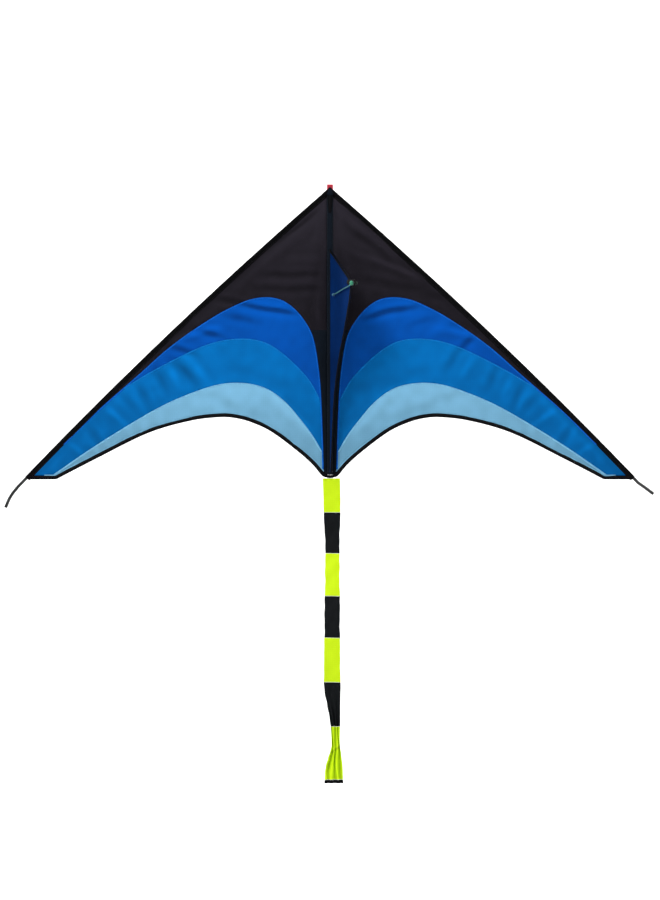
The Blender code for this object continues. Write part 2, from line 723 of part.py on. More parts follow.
def add_keel():
    hinge = add_plane("keel_hinge", (0, -KEEL_STANDOFF, 0), KEEL_LEAN - math.pi / 2)
    (tip, root), trail = keel_lines()
    down = Vector((-(root - tip).y, (root - tip).x)).normalized()
    upper_inner = [tip + down * KEEL_BINDING, root + down * KEEL_BINDING / max(abs(down.y), 0.5)]
    upper_inner[1].x = KEEL_ROOT
    trail_inner = side_step(trail, -KEEL_BINDING)
    trail_inner[-1].y = trail[-1].y

    slope = upper_inner[1] - upper_inner[0]
    ratio = slope.y / slope.x
    below = [p for p in trail_inner if p.y < upper_inner[0].y + ratio * (p.x - upper_inner[0].x)]
    first = below[0]
    meet = Vector((first.x, upper_inner[0].y + ratio * (first.x - upper_inner[0].x)))
    corner = Vector((across_on(trail, meet.y), meet.y))
    panel = [upper_inner[1], Vector((KEEL_ROOT, trail[-1].y)), *reversed(below), meet]
    add_plate("keel_panel", [shrunk(panel, SEAM_GAP / 2)], SAIL_THICKNESS, KEEL_BLUE, hinge)

    upper_binding = [tip, root, upper_inner[1], meet, corner]
    lower_binding = [corner, meet, *below, *reversed([p for p in trail if p.y < meet.y])]
    add_plate("keel_binding_upper", [shrunk(upper_binding, SEAM_GAP / 2)], BINDING_THICKNESS, TAPE, hinge)
    add_plate("keel_binding_lower", [shrunk(lower_binding, SEAM_GAP / 2)], BINDING_THICKNESS, TAPE, hinge)
    add_tow_tab(hinge)
    return hinge


def add_tow_tab(hinge):
    """A webbing tab on each face of the keel's tip, held by an eyelet."""
    outer = Vector(EYELET_AT)
    inner = Vector(TAB_ROOT_AT)
    heading = (outer - inner).angle_signed(Vector((1, 0)))
    outline = arc(outer, TAB_END_RADIUS, heading - math.pi / 2, 8)
    outline += arc(inner, TAB_ROOT_RADIUS, heading + math.pi / 2, 8)
    hole = disc(outer, EYELET_BARREL + FIT_GAP)
    near = BINDING_THICKNESS / 2 + FIT_GAP
    for name, face in (("tow_tab_left", 1), ("tow_tab_right", -1)):
        add_plate(name, [outline, hole], TAB_THICKNESS, TAPE, hinge, face * (near + TAB_THICKNESS / 2))
    inside = near + TAB_THICKNESS + FIT_GAP
    outside = inside + EYELET_LIP
    profile = (
        (EYELET_HOLE, outside), (EYELET_FLANGE, outside), (EYELET_FLANGE, inside), (EYELET_BARREL, inside),
        (EYELET_BARREL, -inside), (EYELET_FLANGE, -inside), (EYELET_FLANGE, -outside), (EYELET_HOLE, -outside),
    )
    add_turned("tow_eyelet", profile, METAL, hinge, outer.to_3d(), (0, 0, 1), closed=True)


def add_leader(hinge):
    add_rod("tow_leader", smooth_line(LEADER_POINTS, spacing=0.012), LEADER_RADIUS, CORD, hinge)
    add_knot("leader_hitch", HITCH_AT, HITCH_SIZE, CORD, hinge)
    add_knot("leader_end_knot", END_KNOT_AT, END_KNOT_SIZE, CORD, hinge)
    add_knot("leader_stopper", (*EYELET_AT, STOPPER_AT), STOPPER_SIZE, CORD, hinge)
    inner = HITCH_AT[2] - HITCH_SIZE[2] - FIT_GAP
    outer = STOPPER_AT + STOPPER_SIZE[2] + FIT_GAP
    ends = [(*EYELET_AT, inner), (*EYELET_AT, outer)]
    add_rod("leader_through_eyelet", ends, LEADER_RADIUS, CORD, hinge)


# ---------------------------------------------------------------- tail

def add_tail():
    plane = add_plane("tail_plane")
    tab_top, tab_end = POCKET_END - SEAM_GAP, TAIL_TOP + TAIL_HINGE_GAP
    half = TAB_WIDTH / 2
    tab = [Vector(p) for p in ((-half, tab_end), (half, tab_end), (half, tab_top), (-half, tab_top))]
    add_plate("tail_tab", [tab], TAIL_TAB_THICKNESS, TAPE, plane)

    up = TAIL_TOP
    for name, length in TAIL_STRIPES:
        look = YELLOW if "yellow" in name else BLACK
        ends = (up - TAIL_HINGE_GAP, up - length + TAIL_HINGE_GAP)
        add_loft(name, [(TAIL_ACROSS, end, TAIL_WIDTH, TAIL_THICKNESS) for end in ends], look, plane)
        up -= length
    neck_end = up - TAIL_NECK_LENGTH
    add_loft("tail_black_3", [
        (TAIL_ACROSS, up - TAIL_HINGE_GAP, TAIL_WIDTH, TAIL_THICKNESS),
        (TAIL_NECK_ACROSS, neck_end + TAIL_HINGE_GAP, *TAIL_NECK),
    ], BLACK, plane)
    flare_end = neck_end - TAIL_FLARE_LENGTH
    add_loft("tail_yellow_4", [
        (TAIL_NECK_ACROSS, neck_end - TAIL_HINGE_GAP, *TAIL_NECK),
        *((across, neck_end - share * TAIL_FLARE_LENGTH, *size) for share, across, *size in TAIL_FLARE),
        (TAIL_HEM_ACROSS, flare_end + TAIL_HINGE_GAP, *TAIL_HEM),
    ], YELLOW, plane)
    hem_ends = (flare_end - TAIL_HINGE_GAP, flare_end - TAIL_HEM_LENGTH)
    add_loft("tail_hem", [(TAIL_HEM_ACROSS, end, *TAIL_HEM) for end in hem_ends], TAPE, plane)


clear_scene()
PARTS = collection("delta_kite")
CUTTERS = collection("cutters")
CUTTERS.hide_render = True
add_spine()
add_wing(-1, "left", beyond_corner(LEFT_TIP))
add_wing(1, "right", beyond_corner(RIGHT_TIP))
KEEL_PLANE = add_keel()
add_leader(KEEL_PLANE)
add_tail()
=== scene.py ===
"""Delta kite: the cloth, tape, thread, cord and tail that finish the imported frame, and a plain studio.

Metres, +Z up. The origin is at the nose, where the hanging loop is sewn on. The sail lies in the XZ plane
and its keel side faces -Y. Lines on the sail are (across, up) points of the right wing; the left one
mirrors them. Points of the keel are (across, up, out), measured from the keel's hinge line.
"""

import json
import math

import bmesh
import bpy
from mathutils import Vector, geometry, noise
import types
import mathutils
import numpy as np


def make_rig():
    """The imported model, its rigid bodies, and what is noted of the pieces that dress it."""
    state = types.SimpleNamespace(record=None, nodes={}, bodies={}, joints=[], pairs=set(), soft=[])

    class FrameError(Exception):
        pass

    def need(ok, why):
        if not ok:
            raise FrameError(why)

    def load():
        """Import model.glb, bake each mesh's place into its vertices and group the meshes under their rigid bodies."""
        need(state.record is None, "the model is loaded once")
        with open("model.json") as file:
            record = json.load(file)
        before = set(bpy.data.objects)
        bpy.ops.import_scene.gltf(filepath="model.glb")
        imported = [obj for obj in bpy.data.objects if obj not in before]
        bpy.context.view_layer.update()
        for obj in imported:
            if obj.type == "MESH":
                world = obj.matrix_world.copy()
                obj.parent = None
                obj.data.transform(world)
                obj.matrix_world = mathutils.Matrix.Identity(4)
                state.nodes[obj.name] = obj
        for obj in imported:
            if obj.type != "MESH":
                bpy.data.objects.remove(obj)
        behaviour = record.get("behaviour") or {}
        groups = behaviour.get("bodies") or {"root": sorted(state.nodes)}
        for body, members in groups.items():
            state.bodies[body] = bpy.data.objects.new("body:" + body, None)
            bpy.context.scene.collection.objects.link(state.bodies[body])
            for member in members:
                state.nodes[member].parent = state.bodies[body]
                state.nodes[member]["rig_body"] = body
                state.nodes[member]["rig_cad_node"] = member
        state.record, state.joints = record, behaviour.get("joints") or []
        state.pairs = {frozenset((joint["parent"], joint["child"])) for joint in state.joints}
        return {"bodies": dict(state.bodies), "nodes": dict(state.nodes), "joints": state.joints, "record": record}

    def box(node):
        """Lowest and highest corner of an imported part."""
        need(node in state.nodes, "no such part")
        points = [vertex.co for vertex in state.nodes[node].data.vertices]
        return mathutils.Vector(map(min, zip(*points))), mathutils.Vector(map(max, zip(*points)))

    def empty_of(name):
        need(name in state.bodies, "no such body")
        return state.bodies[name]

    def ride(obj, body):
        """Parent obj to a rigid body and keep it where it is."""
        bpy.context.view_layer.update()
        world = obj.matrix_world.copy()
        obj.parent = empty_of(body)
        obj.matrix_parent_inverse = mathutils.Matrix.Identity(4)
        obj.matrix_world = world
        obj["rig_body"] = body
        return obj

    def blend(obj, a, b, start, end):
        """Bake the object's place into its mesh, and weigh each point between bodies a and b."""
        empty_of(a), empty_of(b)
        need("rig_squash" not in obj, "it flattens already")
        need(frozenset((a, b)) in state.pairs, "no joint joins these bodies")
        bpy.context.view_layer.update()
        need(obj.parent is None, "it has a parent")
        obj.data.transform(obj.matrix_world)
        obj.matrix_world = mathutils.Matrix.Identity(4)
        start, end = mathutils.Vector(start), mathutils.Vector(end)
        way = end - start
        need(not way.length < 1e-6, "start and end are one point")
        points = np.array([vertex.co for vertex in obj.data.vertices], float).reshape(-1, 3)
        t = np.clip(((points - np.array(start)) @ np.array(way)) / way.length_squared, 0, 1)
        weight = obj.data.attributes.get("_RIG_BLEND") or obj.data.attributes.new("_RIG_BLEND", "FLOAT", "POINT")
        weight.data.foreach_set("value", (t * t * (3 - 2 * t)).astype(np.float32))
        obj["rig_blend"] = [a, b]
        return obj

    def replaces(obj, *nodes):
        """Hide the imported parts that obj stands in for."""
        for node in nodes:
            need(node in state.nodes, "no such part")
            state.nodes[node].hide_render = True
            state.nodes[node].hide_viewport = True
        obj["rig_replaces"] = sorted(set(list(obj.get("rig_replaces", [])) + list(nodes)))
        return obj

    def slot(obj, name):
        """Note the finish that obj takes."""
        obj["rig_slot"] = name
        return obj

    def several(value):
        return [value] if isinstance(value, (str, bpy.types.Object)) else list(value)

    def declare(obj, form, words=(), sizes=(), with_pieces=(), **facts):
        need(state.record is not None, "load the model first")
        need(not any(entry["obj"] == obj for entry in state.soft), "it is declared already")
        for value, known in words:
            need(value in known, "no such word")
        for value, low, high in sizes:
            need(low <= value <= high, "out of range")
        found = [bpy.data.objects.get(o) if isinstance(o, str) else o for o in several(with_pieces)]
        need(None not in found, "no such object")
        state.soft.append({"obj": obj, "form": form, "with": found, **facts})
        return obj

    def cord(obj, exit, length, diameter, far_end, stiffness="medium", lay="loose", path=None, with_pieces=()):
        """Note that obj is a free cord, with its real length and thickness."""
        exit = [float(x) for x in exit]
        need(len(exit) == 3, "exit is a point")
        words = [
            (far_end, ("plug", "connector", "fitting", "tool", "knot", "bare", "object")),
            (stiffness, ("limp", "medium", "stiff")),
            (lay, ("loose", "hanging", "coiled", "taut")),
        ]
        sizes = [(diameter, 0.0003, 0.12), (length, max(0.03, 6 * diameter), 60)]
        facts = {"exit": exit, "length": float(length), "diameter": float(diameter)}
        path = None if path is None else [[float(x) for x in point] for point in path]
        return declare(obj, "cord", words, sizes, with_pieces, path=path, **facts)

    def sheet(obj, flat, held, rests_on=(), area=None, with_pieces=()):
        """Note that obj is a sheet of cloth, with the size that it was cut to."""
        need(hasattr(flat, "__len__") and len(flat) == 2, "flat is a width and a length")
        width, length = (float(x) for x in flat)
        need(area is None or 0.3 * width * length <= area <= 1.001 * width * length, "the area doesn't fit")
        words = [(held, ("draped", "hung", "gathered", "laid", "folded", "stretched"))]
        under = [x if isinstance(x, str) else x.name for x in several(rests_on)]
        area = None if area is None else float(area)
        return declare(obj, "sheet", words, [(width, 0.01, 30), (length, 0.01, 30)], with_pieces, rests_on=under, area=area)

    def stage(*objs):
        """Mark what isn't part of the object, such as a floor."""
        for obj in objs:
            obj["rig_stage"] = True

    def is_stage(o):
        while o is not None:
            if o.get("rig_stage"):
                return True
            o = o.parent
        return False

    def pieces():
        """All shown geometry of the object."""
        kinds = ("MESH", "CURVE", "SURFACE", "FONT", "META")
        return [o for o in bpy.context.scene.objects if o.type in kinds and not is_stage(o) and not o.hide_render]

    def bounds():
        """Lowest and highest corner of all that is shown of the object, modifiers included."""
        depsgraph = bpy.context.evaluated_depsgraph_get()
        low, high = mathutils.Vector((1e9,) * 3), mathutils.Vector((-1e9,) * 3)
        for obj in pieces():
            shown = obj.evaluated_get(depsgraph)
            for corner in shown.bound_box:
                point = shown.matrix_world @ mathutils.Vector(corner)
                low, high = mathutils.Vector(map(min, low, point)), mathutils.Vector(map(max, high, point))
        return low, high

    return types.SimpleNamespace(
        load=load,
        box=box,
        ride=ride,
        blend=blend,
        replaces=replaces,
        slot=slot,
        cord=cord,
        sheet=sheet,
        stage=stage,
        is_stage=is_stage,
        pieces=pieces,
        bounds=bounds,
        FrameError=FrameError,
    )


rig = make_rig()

bl_info = {
    "name": "Delta Kite",
    "version": (1, 0, 0),
    "blender": (4, 5, 0),
    "location": "View3D > Sidebar > Delta Kite",
    "description": "Sews the sail, keel, leader and tail of a delta kite onto its frame",
    "category": "Object",
}

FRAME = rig.load()
CAD_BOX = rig.bounds()
SIDES = ((-1, "left"), (1, "right"))
FACES = (("front", 1), ("back", -1))
KEEL_FACES = (("left", 1), ("right", -1))
ACROSS = Vector((1, 0, 0))
OUT = Vector((0, -1, 0))

# Sail outline of one wing, and where its cloth bends when the wing folds
WING_CORNER = Vector((0.754, -0.717))
EDGE_BOW = 0.012
CORNER_DROP = 0.0025
SLEEVE_RADIUS = 0.0043
SLEEVE_START = 0.022
SLEEVE_END_SHORT = 0.006
SEAM_GAP = 0.0003
INNER_EDGE = 0.0070
BEND_START = 0.0082
BEND_END = 0.0155
BINDING_WIDTH = 0.009
POCKET_HALF_WIDTH = 0.0080
POCKET_HALF_DEPTH = 0.0028
POCKET_TOP = -0.0065
POCKET_END = -0.7080
CLIP_OPENING = 0.0175
SPREADER_UP = -0.364
SPREADER_BEHIND = 0.008
CENTRE_TUBE_WALL = 0.0013

TRAILING_EDGE = (
    (0.0070, -0.7149), (0.0165, -0.7134), (0.0435, -0.6823), (0.0850, -0.6460), (0.1469, -0.6006),
    (0.1910, -0.5800), (0.2275, -0.5696), (0.2663, -0.5662), (0.3414, -0.5748), (0.4450, -0.6045),
    (0.5745, -0.6680), (0.6740, -0.7195),
)
NOSE_SEAM = (
    (0.0158, -0.7000), (0.0166, -0.6600), (0.0195, -0.5700), (0.0235, -0.4900), (0.0300, -0.4300),
    (0.0393, -0.3780), (0.0512, -0.3470), (0.0788, -0.3080), (0.1135, -0.2806), (0.1472, -0.2715),
    (0.1834, -0.2737), (0.2171, -0.2840), (0.2845, -0.3185), (0.3880, -0.3890), (0.4700, -0.4610),
    (0.5735, -0.5520), (0.6600, -0.6370),
)
UPPER_SEAM = (
    (0.0345, -0.5020), (0.0554, -0.4690), (0.1037, -0.4197), (0.1391, -0.3930), (0.1660, -0.3800),
    (0.2043, -0.3732), (0.2560, -0.3760), (0.3030, -0.3880), (0.3546, -0.4100), (0.4425, -0.4556),
)
LOWER_SEAM = (
    (0.0434, -0.6110), (0.0746, -0.5696), (0.1083, -0.5308), (0.1471, -0.5010), (0.1886, -0.4859),
    (0.2378, -0.4820), (0.2844, -0.4885), (0.3415, -0.5075), (0.4061, -0.5352), (0.4839, -0.5788),
    (0.5874, -0.6435),
)
STRIP_TOP = -0.352
LINE_STEP = 0.006
UPPER_SEAM_ENDS = (-0.530, 0.512)
LOWER_SEAM_ENDS = (-0.656, 0.6846)

# Folds of the stretched sail: (from, to, half width, height), the height positive towards the keel side
SHARED_FOLDS = (
    ((0.012, -0.110), (0.052, -0.330), 0.013, -0.0010),
    ((0.270, -0.345), (0.385, -0.372), 0.009, 0.0022),
    ((0.470, -0.560), (0.520, -0.500), 0.011, -0.0018),
    ((0.500, -0.590), (0.560, -0.535), 0.010, 0.0018),
    ((0.560, -0.640), (0.600, -0.580), 0.009, -0.0016),
    ((0.610, -0.660), (0.650, -0.625), 0.008, 0.0014),
    ((0.050, -0.500), (0.260, -0.440), 0.020, -0.0014),
    ((0.035, -0.620), (0.150, -0.500), 0.016, 0.0016),
    ((0.150, -0.570), (0.330, -0.500), 0.018, -0.0014),
)
FOLDS = {
    -1: (
        *SHARED_FOLDS,
        ((0.017, -0.048), (0.150, -0.146), 0.007, -0.0028),
        ((0.150, -0.146), (0.235, -0.230), 0.008, -0.0016),
        ((0.030, -0.085), (0.170, -0.185), 0.012, 0.0018),
        ((0.012, -0.215), (0.170, -0.212), 0.009, -0.0026),
        ((0.012, -0.252), (0.195, -0.247), 0.009, -0.0024),
        ((0.012, -0.180), (0.110, -0.178), 0.010, 0.0016),
        ((0.085, -0.312), (0.215, -0.289), 0.0065, -0.0040),
        ((0.215, -0.289), (0.290, -0.268), 0.007, -0.0034),
        ((0.175, -0.334), (0.262, -0.312), 0.011, -0.0026),
        ((0.262, -0.372), (0.335, -0.347), 0.009, -0.0036),
        ((0.335, -0.412), (0.400, -0.388), 0.008, -0.0034),
        ((0.331, -0.486), (0.377, -0.426), 0.013, -0.0034),
        ((0.400, -0.506), (0.428, -0.444), 0.012, -0.0028),
        ((0.300, -0.478), (0.350, -0.418), 0.012, 0.0022),
        ((0.367, -0.496), (0.404, -0.434), 0.010, 0.0022),
        ((0.445, -0.540), (0.478, -0.480), 0.011, -0.0022),
    ),
    1: (
        *SHARED_FOLDS,
        ((0.020, -0.050), (0.180, -0.190), 0.010, 0.0022),
        ((0.045, -0.105), (0.200, -0.190), 0.014, -0.0028),
        ((0.100, -0.176), (0.232, -0.222), 0.007, 0.0032),
        ((0.030, -0.150), (0.120, -0.178), 0.010, 0.0016),
        ((0.060, -0.228), (0.250, -0.250), 0.012, -0.0022),
        ((0.230, -0.262), (0.310, -0.276), 0.010, -0.0026),
        ((0.080, -0.318), (0.212, -0.294), 0.0075, -0.0038),
        ((0.239, -0.362), (0.290, -0.330), 0.013, 0.0026),
        ((0.316, -0.396), (0.355, -0.364), 0.009, -0.0036),
        ((0.280, -0.450), (0.318, -0.400), 0.014, -0.0032),
        ((0.322, -0.462), (0.356, -0.416), 0.011, 0.0024),
        ((0.386, -0.492), (0.408, -0.444), 0.012, -0.0032),
        ((0.425, -0.512), (0.450, -0.464), 0.010, 0.0024),
        ((0.450, -0.545), (0.478, -0.482), 0.009, -0.0022),
        ((0.200, -0.340), (0.255, -0.322), 0.010, -0.0018),
    ),
}

# Keel
KEEL_LEAN = math.radians(21)
KEEL_STANDOFF = 0.0042
KEEL_ROOT = Vector((0.001, -0.152))
KEEL_TIP = Vector((0.146, -0.238))
KEEL_TRAIL = ((0.1360, -0.2780), (0.1020, -0.3520), (0.0640, -0.4260), (0.0330, -0.5240), (0.0120, -0.7000))
KEEL_BINDING = 0.008
EYELET = (0.160, -0.244)
EYELET_BORE = 0.0041
TAB_END_RADIUS = 0.0090
TAB_ROOT = (0.122, -0.2395)
LEADER_POINTS = (
    (0.1530, -0.2462, 0.0058), (0.1460, -0.2478, 0.0046), (0.1370, -0.2498, 0.0037),
    (0.1270, -0.2516, 0.0032), (0.1170, -0.2528, 0.0029), (0.1070, -0.2541, 0.0028),
    (0.0970, -0.2556, 0.0028), (0.0870, -0.2572, 0.0028), (0.0770, -0.2589, 0.0028),
    (0.0680, -0.2606, 0.0028), (0.0600, -0.2621, 0.0028), (0.0530, -0.2634, 0.0029),
    (0.0470, -0.2644, 0.0031), (0.0420, -0.2652, 0.0034), (0.0385, -0.2658, 0.0037),
)

# Tail: (up, sideways, half width, turn about the vertical in degrees, gather depth) of the ribbon
TAIL_RIBBON = (
    (-0.7165, 0.0035, 0.0215, 6, 0), (-0.7600, 0.0045, 0.0216, 10, 0), (-0.8005, 0.0050, 0.0216, 18, 0),
    (-0.8500, 0.0055, 0.0216, 30, 0), (-0.9015, 0.0058, 0.0216, 37, 0), (-0.9550, 0.0058, 0.0216, 34, 0),
    (-1.0065, 0.0055, 0.0216, 30, 0), (-1.1080, 0.0052, 0.0217, 27, 0), (-1.1600, 0.0052, 0.0217, 24, 0),
    (-1.2185, 0.0052, 0.0216, 16, 0), (-1.2450, 0.0062, 0.0200, 10, 0.0006),
    (-1.2750, 0.0092, 0.0164, 4, 0.0016), (-1.3050, 0.0120, 0.0126, 0, 0.0026),
    (-1.3275, 0.0130, 0.0112, 0, 0.0032), (-1.3550, 0.0136, 0.0112, 0, 0.0035),
    (-1.3750, 0.0144, 0.0112, 0, 0.0037), (-1.3900, 0.0138, 0.0134, 0, 0.0040),
    (-1.4050, 0.0120, 0.0160, 0, 0.0043), (-1.4250, 0.0100, 0.0200, 0, 0.0044),
    (-1.4400, 0.0093, 0.0222, 0, 0.0040), (-1.4585, 0.0094, 0.0234, 0, 0.0034),
    (-1.4675, 0.0094, 0.0238, 0, 0.0028),
)
TAIL_TOP = TAIL_RIBBON[0][0]
TAIL_NECK = -1.3275
TAIL_FLAT_WIDTH = 0.044
GATHERED_FLAT_WIDTH = 0.066

# Stripes of the tail: the node, its lower end, and the bodies that it moves with. A stripe on two bodies
# bends at its upper end.
TAIL_STRIPES = (
    ("tail_yellow_1", -0.8005, ("tail_1",)), ("tail_black_1", -0.9015, ("tail_1", "tail_2")),
    ("tail_yellow_2", -1.0065, ("tail_2",)), ("tail_black_2", -1.1095, ("tail_2", "tail_3")),
    ("tail_yellow_3", -1.2185, ("tail_3",)), ("tail_black_3", TAIL_NECK, ("tail_3", "tail_4")),
    ("tail_yellow_4", -1.4585, ("tail_4",)), ("tail_hem", -1.4675, ("tail_4",)),
)


# ---------------------------------------------------------------- settings

def length(name, description, default, low, high):
    return bpy.props.FloatProperty(
        name=name, description=description, default=default, min=low, max=high, precision=5, unit="LENGTH"
    )


def colour(name, description, default):
    return bpy.props.FloatVectorProperty(
        name=name, description=description, default=default, size=3, min=0.0, max=1.0, subtype="COLOR"
    )


class KiteSailSettings(bpy.types.PropertyGroup):
    cell: length("Cloth grid", "Widest cell of the sail's mesh", 0.0075, 0.003, 0.03)
    thickness: length("Cloth thickness", "Thickness of the sailcloth", 0.0003, 0.0001, 0.002)
    fold_height: bpy.props.FloatProperty(
        name="Folds", description="Height of the sail's folds, as a share of the usual", default=1.0,
        min=0.0, max=2.0,
    )
    billow: length("Billow", "How far the panels belly between their edges", 0.0024, 0.0, 0.01)
    stitch: length("Stitch", "Length of one stitch", 0.0034, 0.002, 0.01)
    thread: length("Thread", "Radius of the sewing thread", 0.00022, 0.0001, 0.001)
    nose: colour("Nose panel", "Colour of the nose panels", (0.0150, 0.0130, 0.0185))
    strip: colour("Centre strip", "Colour of the strips beside the spine", (0.0040, 0.0070, 0.0120))
    sleeve: colour("Sleeves", "Colour of the leading edge sleeves", (0.0022, 0.0022, 0.0028))
    royal: colour("Royal panel", "Colour of the royal blue panels", (0.0000, 0.0780, 0.4100))
    azure: colour("Azure panel", "Colour of the azure panels", (0.0000, 0.1550, 0.4900))
    sky: colour("Sky panel", "Colour of the sky blue panels", (0.1900, 0.4500, 0.6600))
    tape: colour("Binding", "Colour of the binding tape", (0.0025, 0.0028, 0.0038))


class KiteKeelSettings(bpy.types.PropertyGroup):
    cloth: colour("Keel cloth", "Colour of the keel", (0.0008, 0.0190, 0.1000))
    pucker: length("Pucker", "Depth of the puckers along the keel's hems", 0.0007, 0.0, 0.003)
    cord: colour("Leader", "Colour of the tow leader", (0.0160, 0.2100, 0.2300))
    hitch: colour("Hitch", "Colour of the knot at the keel's tip", (0.0400, 0.4200, 0.2300))
    pale: colour("Whipping", "Colour of the leader's end knot", (0.0600, 0.2300, 0.3600))
    cord_width: length("Leader width", "Diameter of the tow leader", 0.0030, 0.001, 0.006)


class KiteTailSettings(bpy.types.PropertyGroup):
    yellow: colour("Yellow stripes", "Colour of the bright stripes", (0.5300, 0.7600, 0.0100))
    black: colour("Black stripes", "Colour of the dark stripes", (0.0060, 0.0070, 0.0080))
    ripple: length("Ripple", "Height of the ribbon's ripples", 0.0016, 0.0, 0.006)
    pleats: bpy.props.IntProperty(
        name="Pleats", description="Pleats in the gathered end", default=3, min=1, max=6
    )


class KiteFittingSettings(bpy.types.PropertyGroup):
    webbing: colour("Nose loop", "Colour of the hanging loop's webbing", (0.2300, 0.0040, 0.0140))
    rod: colour("Rods", "Colour of the rods", (0.0110, 0.0110, 0.0120))
    plastic: colour("Plastic", "Colour of the moulded fittings", (0.0140, 0.0140, 0.0150))
    vinyl: colour("Soft tube", "Colour of the soft tubes", (0.0100, 0.0100, 0.0105))
    metal: colour("Metal", "Colour of the ferrules and the eyelet", (0.5800, 0.5800, 0.6000))


class KiteStudioSettings(bpy.types.PropertyGroup):
    paper: colour("Paper", "Colour of the floor and backdrop", (0.9000, 0.9000, 0.9000))
    distance: length("Camera distance", "From the sail to the camera", 8.0, 2.0, 20.0)
    frame_height: length("View height", "Height of the view at the sail", 2.215, 0.5, 5.0)
    aim_up: length("View centre", "Height of the view's centre", -0.647, -3.0, 3.0)
    key_power: bpy.props.FloatProperty(
        name="Key light", description="Power of the key light", default=150.0, min=0.0, max=2000.0,
        unit="POWER",
    )


# ---------------------------------------------------------------- lines

def along_at(line, i):
    """The direction of a line at its point i."""
    return (line[min(i + 1, len(line) - 1)] - line[max(i - 1, 0)]).normalized()


def left_of(along):
    return Vector((-along.y, along.x))


def smooth_line(points, spacing=0.009):
    """A smooth line through the points, with a point about every spacing."""
    points = [Vector(p) for p in points]
    last = len(points) - 1
    slopes = [along_at(points, i) for i in range(last + 1)]
    line = [points[0]]
    for i in range(last):
        reach = (points[i + 1] - points[i]).length
        count = max(2, round(reach / spacing) + 1)
        start_handle = points[i] + slopes[i] * reach / 3
        end_handle = points[i + 1] - slopes[i + 1] * reach / 3
        piece = geometry.interpolate_bezier(points[i], start_handle, end_handle, points[i + 1], count)
        line += [Vector(p).resized(len(points[0])) for p in piece[1:]]
    return line


def spaced(line, spacing):
    """Points at even distances along a line."""
    line = [Vector(p) for p in line]
    total = sum((b - a).length for a, b in zip(line, line[1:]))
    count = max(1, round(total / spacing))
    points, walked, wanted = [line[0].copy()], 0.0, 1
    for a, b in zip(line, line[1:]):
        reach = (b - a).length
        while wanted < count and walked + reach >= wanted * total / count:
            points.append(a.lerp(b, (wanted * total / count - walked) / reach))
            wanted += 1
        walked += reach
    return [*points, line[-1].copy()]


def side_step(line, distance):
    """The line moved to its left by distance."""
    return [point + left_of(along_at(line, i)) * distance for i, point in enumerate(line)]


def area_of(outline):
    return sum(a.x * b.y - b.x * a.y for a, b in zip(outline, outline[1:] + outline[:1])) / 2


def across_on(line, wanted_up):
    """How far across a line is where it first reaches a height."""
    for a, b in zip(line, line[1:]):
        if (a.y - wanted_up) * (b.y - wanted_up) <= 0 and a.y != b.y:
            return a.x + (b.x - a.x) * (wanted_up - a.y) / (b.y - a.y)
    raise ValueError("the line never reaches that height")


def up_on(line, wanted_across):
    """The height of a line where it last passes a distance across."""
    for a, b in zip(line[-2::-1], line[:0:-1]):
        if (a.x - wanted_across) * (b.x - wanted_across) <= 0 and a.x != b.x:
            return a.y + (b.y - a.y) * (wanted_across - a.x) / (b.x - a.x)
    raise ValueError("the line never reaches that distance")


EDGE_LENGTH = WING_CORNER.length
EDGE_ALONG = WING_CORNER.normalized()
OUTWARD = left_of(EDGE_ALONG)
SAIL_INSET = 2 * SLEEVE_RADIUS + SEAM_GAP / 2


def edge_point(distance, inset=0.0):
    """A point of the leading edge, at a distance along it from the nose, moved inwards by inset."""
    share = distance / EDGE_LENGTH
    return EDGE_ALONG * distance + OUTWARD * (4 * EDGE_BOW * share * (1 - share) - inset)


def edge_line(start, end, inset, pieces):
    return [edge_point(start + (end - start) * i / pieces, inset) for i in range(pieces + 1)]


def distance_at(measure, wanted, inset=0.0):
    """How far along the leading edge a measure of its points reaches the wanted value."""
    low, high = 0.0, 1.1 * EDGE_LENGTH
    for _ in range(50):
        middle = (low + high) / 2
        low, high = (middle, high) if measure(edge_point(middle, inset)) < wanted else (low, middle)
    return low


def inside_edge(point):
    """How far a point of the sail is inside the leading edge."""
    share = point.dot(EDGE_ALONG) / EDGE_LENGTH
    return 4 * EDGE_BOW * share * (1 - share) - point.dot(OUTWARD)


def sail_lines():
    """The trailing edge, the line above its binding, and the three seams."""
    level = WING_CORNER.y - CORNER_DROP
    meets = distance_at(lambda p: -p.y, -level, SAIL_INSET)
    corner = Vector((edge_point(meets, SAIL_INSET).x, level))
    curved = smooth_line(TRAILING_EDGE)
    trailing = [*curved, Vector(((curved[-1].x + corner.x) / 2, level)), corner]
    above = side_step(trailing[:-1], BINDING_WIDTH)
    above = [above[0], *(p for p in above[1:] if p.x > INNER_EDGE + BINDING_WIDTH / 4)]
    above[0].x = INNER_EDGE
    top_up = level + BINDING_WIDTH
    above[-1].y = top_up
    above.append(Vector((edge_point(distance_at(lambda p: -p.y, -top_up, SAIL_INSET), SAIL_INSET).x, top_up)))
    nose = smooth_line(NOSE_SEAM)
    upper_start, upper_end = UPPER_SEAM_ENDS
    upper = smooth_line((
        (across_on(nose, upper_start), upper_start), *UPPER_SEAM, (upper_end, up_on(nose, upper_end)),
    ))
    lower_start, lower_end = LOWER_SEAM_ENDS
    lower = smooth_line((
        (across_on(nose, lower_start), lower_start), *LOWER_SEAM, (lower_end, up_on(above, lower_end)),
    ))
    return trailing, above, nose, upper, lower


